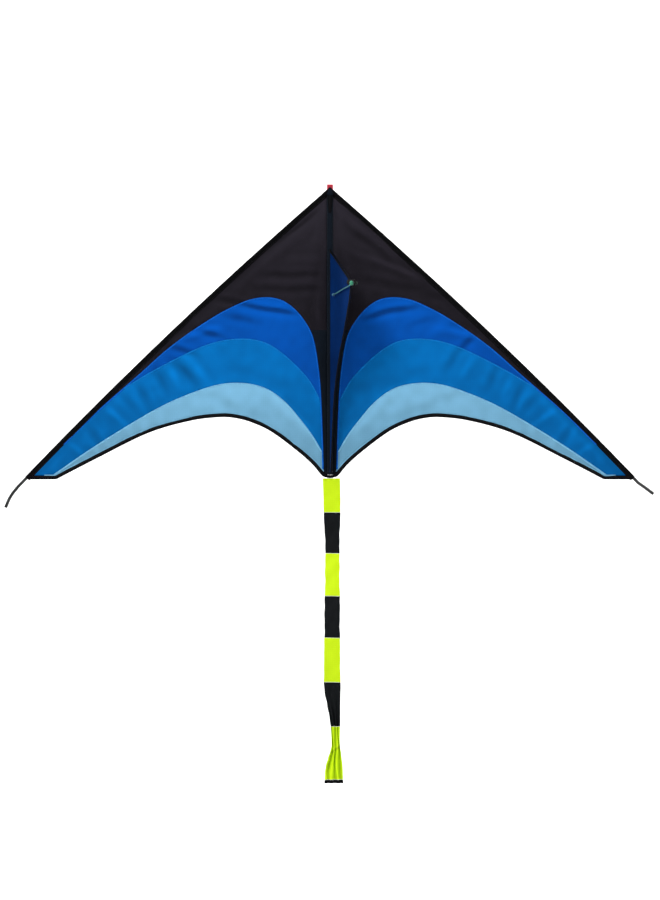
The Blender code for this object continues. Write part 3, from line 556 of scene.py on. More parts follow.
def panel_outlines():
    """{panel: outline} for one wing, with every seam shared by its two panels."""
    trailing, above, nose, upper, lower = sail_lines()
    edge_start = distance_at(lambda p: p.x, INNER_EDGE, SAIL_INSET)
    edge_end = distance_at(lambda p: p.x, nose[-1].x, SAIL_INSET)
    edge_last = distance_at(lambda p: p.x, above[-1].x, SAIL_INSET)
    by_spine = [p for p in nose if p.y < upper[0].y and p.x < upper[0].x]
    split = len(by_spine)
    over_royal = [p for p in nose[split:] if p.x < upper[-1].x]
    beyond = nose[split + len(over_royal):]
    below_azure = [p for p in by_spine if p.y < lower[0].y]
    strip = [p for p in by_spine if p.y < STRIP_TOP]
    strip += [p for p in over_royal if p.y < STRIP_TOP and p.x < 0.06]
    strip.append(Vector((across_on(nose, STRIP_TOP), STRIP_TOP)))
    return {
        "nose_panel": [
            *edge_line(edge_start, edge_end, SAIL_INSET, 60), *reversed(nose[len(strip) - 1:]), strip[-1],
            Vector((INNER_EDGE, STRIP_TOP)),
        ],
        "centre_strip": [
            *strip, Vector((INNER_EDGE, STRIP_TOP)), above[0],
            *(p for p in above if INNER_EDGE + 0.001 < p.x < nose[0].x),
        ],
        "royal_panel": [*over_royal, *reversed(upper)],
        "azure_panel": [
            *by_spine[len(below_azure):], *upper, *beyond,
            *edge_line(edge_end + 0.004, edge_last, SAIL_INSET, 10),
            *(p for p in reversed(above) if lower[-1].x < p.x < above[-1].x - 0.001), *reversed(lower),
        ],
        "sky_panel": [
            *below_azure, *lower, *(p for p in reversed(above) if nose[0].x < p.x < lower[-1].x),
        ],
    }


def eased(value, low, high):
    share = min(max((value - low) / (high - low), 0.0), 1.0)
    return share * share * (3 - 2 * share)


def sail_out(point, side):
    """How far the sail stands out towards the keel side at a point of one wing."""
    settings = bpy.context.scene.kite_sail
    held = eased(inside_edge(point), 0.004, 0.034) * eased(point.x, INNER_EDGE, 0.032)
    drift = noise.noise(Vector((point.x * 6.0, point.y * 6.0, 3.1 + side * 1.7)))
    out = settings.billow * (0.55 + 0.9 * drift)
    for start, end, half_width, height in FOLDS[side]:
        start, end = Vector(start), Vector(end)
        along = (end - start).normalized()
        reach = (end - start).length
        run = (point - start).dot(along)
        if not -0.03 < run < reach + 0.03:
            continue
        wander = 0.006 * noise.noise(Vector((run * 14.0, height * 900.0, side * 2.3)))
        away = abs((point - start).cross(along) + wander) / half_width
        if away < 2.6:
            ends = eased(run, -0.03, 0.05) * eased(reach + 0.03 - run, 0.0, 0.08)
            out += settings.fold_height * height * ends * math.exp(-away * away)
    small = noise.noise(Vector((point.x * 34.0 + side, point.y * 34.0, 7.7)))
    out += settings.fold_height * 0.0006 * small
    return out * held


def fold_shade_mask(point, side):
    """How much a point lies in a hollow of the cloth, from 0 on a crest to 1 at the bottom of a fold: the mask by
    which the sail's finish paints shade into the folds and a highlight on their crests.
    """
    reach, full_depth = 0.016, 0.0042
    around = sum(sail_out(point + Vector(spot), side) for spot in ring(reach, 6)[:-1]) / 6
    return min(max(0.5 + (around - sail_out(point, side)) / full_depth, 0.0), 1.0)


def on_sail(point, side, lift=0.0):
    """A point of the sail in space, lifted off the cloth towards the keel side."""
    return Vector((side * point.x, -(sail_out(point, side) + lift), point.y))


def on_keel(across, up, out=0.0):
    """A point of the keel's plane in space."""
    sine, cosine = math.sin(KEEL_LEAN), math.cos(KEEL_LEAN)
    return Vector((across * sine - out * cosine, -KEEL_STANDOFF - across * cosine - out * sine, up))


# ---------------------------------------------------------------- shapes

def piece_from(name, shape, finish, slot, smooth=True):
    """The object made from a bmesh, which it frees."""
    mesh = bpy.data.meshes.new(name)
    for face in shape.faces:
        face.smooth = smooth
    shape.to_mesh(mesh)
    shape.free()
    mesh.materials.append(finish)
    piece = bpy.data.objects.new(name, mesh)
    bpy.context.scene.collection.objects.link(piece)
    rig.slot(piece, slot)
    return piece


def thicken(piece, thickness, offset=0.0):
    """Gives a sheet its thickness: half on each face, or all of it on one face at an offset of -1 or 1."""
    wall = piece.modifiers.new("cloth", "SOLIDIFY")
    wall.thickness = thickness
    wall.offset = offset
    return piece


def sweep(stations, section, closed=False, ends=False):
    """A bmesh of section(i), a list of (across, out) points, carried along (place, across, out) stations."""
    shape = bmesh.new()
    layer = shape.loops.layers.uv.new("UVMap")
    sections = [section(i) for i in range(len(stations))]
    columns, rows = len(sections[0]) - 1, len(stations) - 1
    bmesh.ops.create_grid(shape, x_segments=columns, y_segments=rows, size=1)
    walked, width = [0.0], [0.0]
    for (a, _, _), (b, _, _) in zip(stations, stations[1:]):
        walked.append(walked[-1] + (b - a).length)
    for a, b in zip(sections[0], sections[0][1:]):
        width.append(width[-1] + math.dist(a, b))
    spots = {}
    for vert in shape.verts:
        column, row = round((vert.co.x + 1) * columns / 2), round((vert.co.y + 1) * rows / 2)
        spots[vert] = (width[column], walked[row])
        place, across, out = stations[row]
        step, rise = sections[row][column]
        vert.co = place + across * step + out * rise
    for face in shape.faces:
        for loop in face.loops:
            loop[layer].uv = spots[loop.vert]
    if closed:
        bmesh.ops.remove_doubles(shape, verts=shape.verts, dist=0.000005)
        if ends:
            bmesh.ops.holes_fill(shape, edges=[e for e in shape.edges if e.is_boundary], sides=0)
        bmesh.ops.recalc_face_normals(shape, faces=shape.faces)
    return shape


def frames_along(points):
    """(place, across, out) along a line in space, turning as little as possible."""
    points = [Vector(p) for p in points]
    tangents = [along_at(points, i) for i in range(len(points))]
    out = tangents[0].orthogonal().normalized()
    frames = []
    for point, tangent in zip(points, tangents):
        out = (out - tangent * out.dot(tangent)).normalized()
        frames.append((point, tangent.cross(out), out))
    return frames


def ring(radius, sides=12):
    turns = [2 * math.pi * i / sides for i in range(sides + 1)]
    return [(radius * math.cos(turn), radius * math.sin(turn)) for turn in turns]


def tube(points, radius, sides=12):
    """A bmesh tube along a line, rounded in at its two ends."""
    frames = frames_along(points)
    shares = {0: 0.55, len(frames) - 1: 0.55}
    return sweep(frames, lambda i: ring(radius * shares.get(i, 1.0), sides), closed=True, ends=True)


def cut_into_cells(shape, faces, axis, low, high, cell):
    """Halves faces across an axis until no strip is wider than the cell."""
    if high - low <= cell or not faces:
        return
    middle = (low + high) / 2
    place, normal = Vector((0, 0, 0)), Vector((0, 0, 0))
    place[axis], normal[axis] = middle, 1.0
    geom = list({*faces, *(e for f in faces for e in f.edges), *(v for f in faces for v in f.verts)})
    cut = bmesh.ops.bisect_plane(shape, geom=geom, dist=0.000002, plane_co=place, plane_no=normal)
    found = [item for item in cut["geom"] if isinstance(item, bmesh.types.BMFace)]
    below = [face for face in found if face.calc_center_median()[axis] < middle]
    above = [face for face in found if face.calc_center_median()[axis] >= middle]
    cut_into_cells(shape, below, axis, low, middle, cell)
    cut_into_cells(shape, above, axis, middle, high, cell)


def cut_cloth(outline, cell, place, tone):
    """A bmesh of flat cloth inside an outline, in cells, laid out by place(point), with tone(point), the mask of
    painted fold shade and crest highlight, kept on each point.
    """
    if area_of(outline) < 0:
        outline = outline[::-1]
    shape = bmesh.new()
    layer = shape.loops.layers.uv.new("UVMap")
    corners = [shape.verts.new((p.x, p.y, 0)) for p in outline]
    shape.faces.new(corners)
    for axis in (0, 1):
        spread = [p[axis] for p in outline]
        cut_into_cells(shape, shape.faces[:], axis, min(spread), max(spread), cell)
    bmesh.ops.triangulate(shape, faces=[face for face in shape.faces if len(face.verts) > 4])
    for face in shape.faces:
        for loop in face.loops:
            loop[layer].uv = loop.vert.co.xy
    # Each point keeps its share of painted fold shade, which the finish reads as the hollow attribute
    hollow = shape.verts.layers.float.new("hollow")
    for vert in shape.verts:
        vert[hollow] = tone(vert.co.xy)
        vert.co = place(vert.co.xy)
    return shape


def outline_size(outline):
    """(width, length, area) of the cloth in an outline, squared to its longest chord."""
    coarse = outline[::4]
    _, first, last = max(((a - b).length, i, j) for i, a in enumerate(coarse) for j, b in enumerate(coarse))
    along = (coarse[last] - coarse[first]).normalized()
    aside = left_of(along)
    runs, rises = [p.dot(along) for p in outline], [p.dot(aside) for p in outline]
    return max(rises) - min(rises), max(runs) - min(runs), abs(area_of(outline))


def cut_from(outline):
    """The cut of a panel. A crescent's width is taken across its band, not over the whole of its bend."""
    width, reach, area = outline_size(outline)
    return {"flat": (min(width, area / (0.45 * reach)), reach), "area": area}


class Seam:
    """Rows of stitches, drawn as short arched threads, that become one piece."""

    def __init__(self, name, thread):
        self.curve = bpy.data.curves.new(name, "CURVE")
        self.curve.dimensions = "3D"
        self.curve.bevel_depth = thread
        self.curve.bevel_resolution = 0

    def row(self, line, place, pitch, zigzag=0.0, gap=0.28):
        """Stitches along a flat line. place(point, lift) puts a point of it in space."""
        points = spaced(line, pitch)
        swing = 1
        for a, b in zip(points, points[1:]):
            aside = left_of((b - a).normalized()) * zigzag * swing
            swing = -swing
            start, end = a.lerp(b, gap / 2) - aside, a.lerp(b, 1 - gap / 2) + aside
            lift = self.curve.bevel_depth
            spline = self.curve.splines.new("POLY")
            spline.points.add(2)
            middle = start.lerp(end, 0.5)
            arch = (place(start, lift * 0.2), place(middle, lift * 1.1), place(end, lift * 0.2))
            for knot, spot in zip(spline.points, arch):
                knot.co = (*spot, 1.0)

    def sewn(self, finish, slot):
        name = self.curve.name
        holder = bpy.data.objects.new(name + "_rows", self.curve)
        bpy.context.scene.collection.objects.link(holder)
        depsgraph = bpy.context.evaluated_depsgraph_get()
        mesh = bpy.data.meshes.new_from_object(holder.evaluated_get(depsgraph))
        bpy.data.objects.remove(holder, do_unlink=True)
        mesh.materials.clear()
        mesh.materials.append(finish)
        piece = bpy.data.objects.new(name, mesh)
        bpy.context.scene.collection.objects.link(piece)
        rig.slot(piece, slot)
        return piece


# ---------------------------------------------------------------- finishes

class Value:
    """A shader socket, on which arithmetic adds Math nodes."""

    def __init__(self, tree, socket):
        self.tree, self.socket = tree, socket

    def math(self, operation, *items):
        node = self.tree.nodes.new("ShaderNodeMath")
        node.operation = operation
        for slot, item in zip(node.inputs, items):
            feed(self.tree, slot, item)
        return Value(self.tree, node.outputs[0])

    def __add__(self, other):
        return self.math("ADD", self, other)

    def __radd__(self, other):
        return self.math("ADD", other, self)

    def __sub__(self, other):
        return self.math("SUBTRACT", self, other)

    def __rsub__(self, other):
        return self.math("SUBTRACT", other, self)

    def __mul__(self, other):
        return self.math("MULTIPLY", self, other)

    def __rmul__(self, other):
        return self.math("MULTIPLY", other, self)

    def __truediv__(self, other):
        return self.math("DIVIDE", self, other)

    def wave(self, pitch):
        """A smooth wave from 0 to 1 that repeats every pitch."""
        return self.math("SINE", self * (2 * math.pi / pitch)) * 0.5 + 0.5

    def line(self, pitch, width):
        """1 on thin lines that repeat every pitch, and 0 between them."""
        away = self.math("PINGPONG", self, pitch / 2)
        return self.math("SUBTRACT", 1.0, away / width).clamped()

    def clamped(self):
        return self.math("MINIMUM", self.math("MAXIMUM", self, 0.0), 1.0)

    def between(self, low, high):
        return ((self - low) / (high - low)).clamped()


def feed(tree, slot, item):
    if isinstance(item, Value):
        tree.links.new(item.socket, slot)
    else:
        slot.default_value = item


class Finish:
    """A material in the making: its nodes, and the constants and links of its one shader."""

    def __init__(self, name, **constants):
        self.material = bpy.data.materials.new(name)
        self.material.use_nodes = True
        self.tree = self.material.node_tree
        self.shader = self.tree.nodes["Principled BSDF"]
        for socket, value in constants.items():
            self.shader.inputs[socket.replace("_", " ")].default_value = value

    def node(self, kind, settings, inputs, output=0):
        """The value of one output of a new node, with its inputs given by identifier or name."""
        made = self.tree.nodes.new("ShaderNode" + kind)
        for key, value in settings.items():
            setattr(made, key, value)
        for key, item in inputs.items():
            slot = next(s for s in made.inputs if key in (s.identifier, s.name))
            feed(self.tree, slot, item)
        return Value(self.tree, made.outputs[output])

    def place(self):
        return self.node("TexCoord", {}, {}, output=3)

    def flat(self):
        """(across, along) on the cloth, in metres."""
        spot = self.node("UVMap", {"uv_map": "UVMap"}, {})
        node = self.tree.nodes.new("ShaderNodeSeparateXYZ")
        feed(self.tree, node.inputs[0], spot)
        return Value(self.tree, node.outputs[0]), Value(self.tree, node.outputs[1])

    def stretched(self, vector, scale):
        return self.node("Mapping", {}, {"Vector": vector, "Scale": scale})

    def mottle(self, vector, scale, detail=3.0, roughness=0.5, distortion=0.0):
        inputs = {
            "Vector": vector, "Scale": scale, "Detail": detail, "Roughness": roughness,
            "Distortion": distortion,
        }
        return self.node("TexNoise", {"noise_dimensions": "3D"}, inputs)

    def mix(self, first, second, factor):
        node = self.tree.nodes.new("ShaderNodeMix")
        node.data_type = "RGBA"
        slots = {slot.identifier: slot for slot in node.inputs}
        for key, item in (("Factor_Float", factor), ("A_Color", first), ("B_Color", second)):
            feed(self.tree, slots[key], item if isinstance(item, (Value, float)) else (*item, 1.0))
        result = next(slot for slot in node.outputs if slot.identifier == "Result_Color")
        return Value(self.tree, result)

    def bump(self, height, distance, strength=1.0, under=None):
        inputs = {"Height": height, "Distance": distance, "Strength": strength}
        if under is not None:
            inputs["Normal"] = under
        return self.node("Bump", {}, inputs)

    def done(self, colour, roughness, normal=None, metallic=None):
        shown = {"Base Color": colour, "Roughness": roughness, "Normal": normal, "Metallic": metallic}
        for key, item in shown.items():
            if item is not None:
                feed(self.tree, self.shader.inputs[key], item)
        return self.material


def lighter(tint, share):
    """A colour moved towards white by a share, or towards black where it is negative."""
    goal = 1.0 if share > 0 else 0.0
    return tuple(c + (goal - c) * abs(share) for c in tint)


def stronger(tint, gain):
    """A colour made brighter or darker, with its hue kept."""
    return tuple(min(c * gain, 1.0) for c in tint)


def sailcloth(name, tint, tone=0.16, crease=0.0011, rough=0.70, hollows=False, fade=None):
    """Ripstop cloth: a fine grid of thicker threads, soft creases and an uneven dye, with painted shade in the hollows
    of its folds and a painted highlight on their crests.

    The last argument, when given, is (low, its strength, high, its strength): painted light and shade by height, how
    much the colour is brightened or darkened at two heights.
    """
    cloth = Finish(name, Specular_IOR_Level=0.05)
    across, up = cloth.flat()
    place = cloth.place()
    dye = cloth.mottle(place, 5.5, 3.0, 0.45)
    fine = cloth.mottle(place, 240.0, 2.0, 0.6)
    grid = (across.line(0.0052, 0.00042) + up.line(0.0052, 0.00042)).clamped()
    body = cloth.mix(stronger(tint, 1 - tone), stronger(tint, 1 + tone), dye.between(0.25, 0.75))
    body = cloth.mix(body, stronger(tint, 1.35), grid * 0.30 + fine.between(0.55, 0.8) * 0.18)
    # Painted light and shade by height: the colour is brightened towards the top and darkened towards the bottom
    if fade is not None:
        low, low_gain, high, high_gain = fade
        height = cloth.node("SeparateXYZ", {}, {"Vector": place}, output=2).between(low, high)
        painted_light_gain = cloth.mix((low_gain,) * 3, (high_gain,) * 3, height)
        body = cloth.node("VectorMath", {"operation": "MULTIPLY"}, {"Vector": body, "Vector_001": painted_light_gain})
    # Painted shade in the hollows of the folds and a painted highlight on their crests, read from the hollow attribute
    if hollows:
        hollow = cloth.node("Attribute", {"attribute_name": "hollow"}, {}, output=2)
        body = cloth.mix(body, stronger(tint, 0.45), hollow.between(0.50, 0.95) * 0.85)
        body = cloth.mix(body, stronger(tint, 1.40), (0.5 - hollow).between(0.0, 0.45) * 0.8)
    folds = cloth.mottle(place, 13.0, 2.0, 0.4, 0.5)
    puckers = cloth.mottle(cloth.stretched(place, (1.0, 1.0, 0.45)), 62.0, 2.0, 0.5, 0.4)
    normal = cloth.bump(folds, crease * 2.4)
    normal = cloth.bump(puckers, crease * 0.45, under=normal)
    normal = cloth.bump(grid + fine * 0.25, 0.00006, under=normal)
    return cloth.done(body, fine * 0.12 + grid * 0.05 + (rough - 0.08), normal)


def tape_finish(name, tint, rib=0.0011, rough=0.72):
    """Woven binding tape, ribbed across its length, and paler where its ribs are rubbed."""
    tape = Finish(name, Specular_IOR_Level=0.06)
    across, along = tape.flat()
    ribs = along.wave(rib)
    rubbed = tape.mottle(tape.place(), 60.0, 3.0, 0.6)
    body = tape.mix(tint, stronger(tint, 1.8), ribs * rubbed.between(0.4, 0.8))
    body = tape.mix(body, stronger(tint, 1.5), across.line(0.0045, 0.0004) * 0.5)
    soft = tape.mottle(tape.place(), 45.0, 2.0, 0.5)
    normal = tape.bump(soft, 0.0012)
    normal = tape.bump(ribs, 0.00014, under=normal)
    return tape.done(body, ribs * 0.08 + (rough - 0.05), normal)


def webbing_finish(name, tint):
    """Heavy webbing: ribs along its length, with a herringbone of threads across them."""
    web = Finish(name, Specular_IOR_Level=0.08)
    across, along = web.flat()
    ribs = across.wave(0.0019)
    twill = (along + across.math("PINGPONG", across, 0.00095)).wave(0.0013)
    fuzz = web.mottle(web.place(), 420.0, 2.0, 0.6)
    body = web.mix(stronger(tint, 0.45), tint, twill * 0.6 + ribs * 0.4)
    body = web.mix(body, stronger(tint, 1.5), fuzz.between(0.55, 0.85) * 0.6)
    normal = web.bump(ribs * 0.6 + twill * 0.4, 0.0003)
    return web.done(body, fuzz * 0.15 + 0.68, normal)


def cord_finish(name, tint, fleck):
    """Braided cord: two sets of strands that cross, with paler flecks."""
    cord = Finish(name, Specular_IOR_Level=0.3, Sheen_Weight=0.15, Sheen_Roughness=0.5)
    round_it, along = cord.flat()
    one = (along + round_it * 0.8).wave(0.0021)
    two = (along - round_it * 0.8).wave(0.0021)
    braid = one * two
    fuzz = cord.mottle(cord.place(), 500.0, 2.0, 0.6)
    body = cord.mix(lighter(tint, -0.5), tint, braid.between(0.02, 0.35))
    flecks = (one * (1 - two)).between(0.55, 0.95) * 0.45 + fuzz.between(0.6, 0.9) * 0.2
    body = cord.mix(body, fleck, flecks)
    normal = cord.bump(braid, 0.00045)
    return cord.done(body, fuzz * 0.1 + 0.74, normal)


def thread_finish(name, tint):
    """Polyester thread with a soft shine."""
    thread = Finish(name, Specular_IOR_Level=0.4, Sheen_Weight=0.1, Sheen_Roughness=0.4)
    twist = thread.mottle(thread.place(), 900.0, 2.0, 0.5)
    return thread.done(thread.mix(stronger(tint, 0.7), stronger(tint, 1.3), twist), twist * 0.1 + 0.5)


def moulded_finish(name, tint, rough=0.42):
    """Moulded plastic with a fine grain and paler rubbed patches."""
    plastic = Finish(name, Specular_IOR_Level=0.45)
    place = plastic.place()
    grain = plastic.mottle(place, 900.0, 2.0, 0.5)
    rubbed = plastic.mottle(place, 90.0, 4.0, 0.65)
    body = plastic.mix(tint, lighter(tint, 0.06), rubbed.between(0.5, 0.75))
    normal = plastic.bump(grain, 0.00006)
    return plastic.done(body, rubbed * 0.2 + (rough - 0.1), normal)


def rod_finish(name, tint):
    """A pultruded rod: fine fibres along its length under a clear skin."""
    rod = Finish(name, Specular_IOR_Level=0.5, Coat_Roughness=0.15, Coat_Weight=0.3)
    place = rod.place()
    fibres = rod.mottle(rod.stretched(place, (1.0, 8.0, 1.0)), 260.0, 3.0, 0.6)
    body = rod.mix(tint, lighter(tint, 0.05), fibres.between(0.45, 0.7))
    return rod.done(body, fibres * 0.2 + 0.22, rod.bump(fibres, 0.00004))


def vinyl_finish(name, tint):
    """Soft vinyl tube with a dull bloom and shallow handling marks."""
    vinyl = Finish(name, Specular_IOR_Level=0.4)
    place = vinyl.place()
    bloom = vinyl.mottle(place, 55.0, 4.0, 0.6)
    marks = vinyl.mottle(vinyl.stretched(place, (1.0, 1.0, 3.0)), 300.0, 2.0, 0.5)
    body = vinyl.mix(tint, lighter(tint, 0.035), bloom.between(0.45, 0.75))
    return vinyl.done(body, bloom * 0.22 + 0.34, vinyl.bump(marks, 0.00008))


def metal_finish(name, tint):
    """Drawn metal with fine scratches and darker patches of tarnish."""
    metal = Finish(name)
    place = metal.place()
    scratches = metal.mottle(metal.stretched(place, (6.0, 1.0, 1.0)), 420.0, 3.0, 0.6)
    tarnish = metal.mottle(place, 70.0, 4.0, 0.6)
    body = metal.mix(tint, lighter(tint, -0.35), tarnish.between(0.5, 0.8))
    return metal.done(body, scratches * 0.18 + 0.2, metal.bump(scratches, 0.00003), 1.0)


# ---------------------------------------------------------------- operators

def finish_named(name, maker, *args, **options):
    return bpy.data.materials.get(name) or maker(name, *args, **options)


def binding_tape():
    return finish_named("binding_tape", tape_finish, bpy.context.scene.kite_sail.tape)


def black_thread():
    return finish_named("black_thread", thread_finish, stronger(bpy.context.scene.kite_sail.tape, 2.2))


def fit(piece, body, *nodes):
    """The piece takes the place of CAD nodes and moves with a body."""
    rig.replaces(piece, *nodes)
    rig.ride(piece, body)
    return piece


def bend_at_spine(piece, side, start=BEND_START, up=-0.35):
    """The cloth turns beside the spine pocket when its wing folds."""
    wing = "wing_left" if side < 0 else "wing_right"
    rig.blend(piece, "spine", wing, start=(side * start, 0, up), end=(side * BEND_END, 0, up))
    return piece


def mirrored(section):
    """A folded strip's section: one face of it, its folded edge, and the other face."""
    return [*section, (0.0, 0.0), *((a, -o) for a, o in reversed(section))]


def upright(high, low, rows, behind=lambda share: 0.0):
    """Stations straight down from high to low that face the keel side."""
    return [
        (Vector((0, behind(i / rows), high + (low - high) * i / rows)), ACROSS, OUT) for i in range(rows + 1)
    ]


class KITE_OT_studio(bpy.types.Operator):
    """Place the camera, the lights and a plain paper sweep"""

    bl_idname = "kite.studio"
    bl_label = "Studio"

    def execute(self, context):
        settings = context.scene.kite_studio
        lens = bpy.data.cameras.new("camera")
        lens.sensor_fit = "VERTICAL"
        lens.sensor_height = 24.0
        lens.lens = lens.sensor_height * settings.distance / settings.frame_height
        lens.clip_end = 60.0
        camera = bpy.data.objects.new("camera", lens)
        camera.location = (0.0, -settings.distance, settings.aim_up)
        camera.rotation_euler = (math.pi / 2, 0, 0)
        context.scene.collection.objects.link(camera)
        context.scene.camera = camera

        for name, place, size, power in (
            ("key_light", (-2.2, -2.6, 3.0), 1.4, settings.key_power),
            ("fill_light", (3.2, -4.6, 0.2), 3.2, settings.key_power * 0.30),
            ("wall_light_left", (-2.6, 1.4, 1.8), 1.8, settings.key_power * 0.9),
            ("wall_light_right", (2.6, 1.4, 1.8), 1.8, settings.key_power * 0.9),
        ):
            light = bpy.data.lights.new(name, "AREA")
            light.shape = "DISK"
            light.size = size
            light.energy = power
            lamp = bpy.data.objects.new(name, light)
            lamp.location = place
            aim = Vector((place[0] * 0.3, 3.4, -0.8)) if "wall" in name else Vector((0, 0, -0.6))
            lamp.rotation_euler = (aim - lamp.location).to_track_quat("-Z", "Y").to_euler()
            context.scene.collection.objects.link(lamp)

        world = bpy.data.worlds.new("soft_room")
        world.use_nodes = True
        world.node_tree.nodes["Background"].inputs["Color"].default_value = (1, 1, 1, 1)
        world.node_tree.nodes["Background"].inputs["Strength"].default_value = 0.42
        context.scene.world = world
        context.scene.view_settings.view_transform = "Standard"

        floor_up, bend_from, bend_radius = -1.95, 2.4, 1.1
        centre_up, wall = floor_up + bend_radius, bend_from + bend_radius
        turns = [math.pi * i / 24 for i in range(1, 12)]
        profile = [(-9.0, floor_up), (bend_from, floor_up)]
        profile += [
            (bend_from + bend_radius * math.sin(t), centre_up - bend_radius * math.cos(t)) for t in turns
        ]
        profile += [(wall, centre_up), (wall, 5.0)]
        stations = [(Vector((x, 0, 0)), Vector((0, 1, 0)), Vector((0, 0, 1))) for x in (-8.0, 0.0, 8.0)]
        paper = Finish("paper", Specular_IOR_Level=0.2)
        tooth = paper.mottle(paper.place(), 60.0, 3.0, 0.5)
        finish = paper.done(
            paper.mix(settings.paper, lighter(settings.paper, -0.01), tooth), tooth * 0.05 + 0.9,
            paper.bump(tooth, 0.0004),
        )
        floor = piece_from("studio_floor", sweep(stations, lambda i: profile), finish, "sail_black")
        if floor.data.polygons[0].normal.z < 0:
            floor.data.flip_normals()
        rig.stage(floor)
        return {"FINISHED"}


def knot_line(centre, size, strand, turns):
    """The middle line of a knot's strand: it winds round and round while it weaves up and down."""
    line = []
    for i in range(73):
        turn = 2 * math.pi * i / 72
        swell = 0.62 + 0.38 * math.cos((turns + 1) * turn)
        line.append(on_keel(
            centre[0] + (size[0] - strand) * swell * math.cos(turns * turn),
            centre[1] + (size[1] - strand) * swell * math.sin(turns * turn),
            centre[2] + (size[2] - strand) * math.sin((turns + 1) * turn) * 0.98,
        ))
    return line


class KITE_OT_leader(bpy.types.Operator):
    """Tie the tow leader through the keel's eyelet"""

    bl_idname = "kite.leader"
    bl_label = "Tow Leader"

    def execute(self, context):
        settings = context.scene.kite_keel
        braid = finish_named("braided_cord", cord_finish, settings.cord, lighter(settings.cord, 0.12))
        bright = finish_named("braided_hitch", cord_finish, settings.hitch, lighter(settings.hitch, 0.4))
        # Painted shade: the stopper knot behind the keel takes the hitch's colour darkened to 6% and 12%
        shaded = [stronger(settings.hitch, gain) for gain in (0.06, 0.12)]
        shaded_hitch_cord = finish_named("stopper_cord", cord_finish, *shaded)
        pale = finish_named("whipped_end", cord_finish, settings.pale, lighter(settings.pale, 0.2))
        radius = settings.cord_width / 2
        path = [on_keel(*p) for p in smooth_line(LEADER_POINTS, 0.004)]
        total = sum((b - a).length for a, b in zip(path, path[1:]))
        leader = fit(piece_from("leader_cord", tube(path, radius, 14), braid, "cord"), "leader", "tow_leader")

        knots = []
        for name, node, centre, size, finish, turns in (
            ("hitch_knot", "leader_hitch", (0.160, -0.2442, 0.0064), (0.0060, 0.0060, 0.0034), bright, 3),
            ("end_knot", "leader_end_knot", (0.0338, -0.2666, 0.0042), (0.0043, 0.0036, 0.0033), pale, 2),
            ("stopper_knot", "leader_stopper", (*EYELET, -0.0069), (0.0042, 0.0042, 0.0032), shaded_hitch_cord, 2),
        ):
            strand = min(size) * 0.42
            knot = piece_from(name, tube(knot_line(centre, size, strand, turns), strand, 10), finish, "cord")
            knots.append(fit(knot, "leader", node))
        shank = [on_keel(*EYELET, 0.0048 - 0.0095 * i / 8) for i in range(9)]
        through = piece_from("leader_shank", tube(shank, radius, 12), braid, "cord")
        fit(through, "leader", "leader_through_eyelet")
        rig.cord(
            leader, exit=tuple(path[0]), length=total, diameter=settings.cord_width, far_end="knot",
            stiffness="limp", lay="loose", with_pieces=knots, path=[tuple(p) for p in path],
        )
        return {"FINISHED"}


class KITE_OT_sail_panels(bpy.types.Operator):
    """Cut the eight coloured panels of the sail and stretch them over the spars"""

    bl_idname = "kite.sail_panels"
    bl_label = "Sail Panels"

    def execute(self, context):
        settings = context.scene.kite_sail
        # Each panel's finish, colour, slot, unevenness of dye, and painted light and shade by height
        looks = {
            "nose_panel": ("nose_cloth", settings.nose, "sail_black", 0.16, (-0.30, 0.70, -0.04, 1.25)),
            "centre_strip": ("strip_cloth", settings.strip, "sail_black", 0.16, (-0.65, 0.85, -0.352, 1.1)),
            "royal_panel": ("royal_cloth", settings.royal, "sail_royal", 0.14, (-0.56, 0.80, -0.28, 1.02)),
            "azure_panel": ("azure_cloth", settings.azure, "sail_azure", 0.12, (-0.70, 0.62, -0.42, 0.92)),
            "sky_panel": ("sky_cloth", settings.sky, "sail_sky", 0.08, (-0.71, 0.60, -0.50, 0.98)),
        }
        for side, suffix in SIDES:
            for name, outline in panel_outlines().items():
                cloth_name, tint, slot, tone, fade = looks[name]
                # Each panel takes painted shade in its folds with a painted highlight on their crests, and painted
                # light and shade by height
                finish = finish_named(cloth_name, sailcloth, tint, tone=tone, hollows=True, fade=fade)
                shape = cut_cloth(
                    outline, settings.cell, lambda p, s=side: on_sail(p, s), lambda p, s=side: fold_shade_mask(p, s)
                )
                if side < 0:
                    bmesh.ops.reverse_faces(shape, faces=shape.faces)
                piece = thicken(piece_from(f"{name}_cloth_{suffix}", shape, finish, slot), settings.thickness)
                node = "nose_panel" if name == "centre_strip" else name
                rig.replaces(piece, f"{node}_{suffix}")
                if node == "nose_panel":
                    bend_at_spine(piece, side)
                else:
                    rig.ride(piece, f"wing_{suffix}")
                held_by = [f"spar_upper_{suffix}", "spine_rod"]
                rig.sheet(piece, held="stretched", rests_on=held_by, **cut_from(outline))
        return {"FINISHED"}


def lying_on_sail(line, side):
    """Stations of a strip that lies on the sail along a flat line."""
    stations = []
    for i, point in enumerate(line):
        aside = left_of(along_at(line, i))
        stations.append((on_sail(point, side), Vector((side * aside.x, 0, aside.y)), OUT))
    return stations


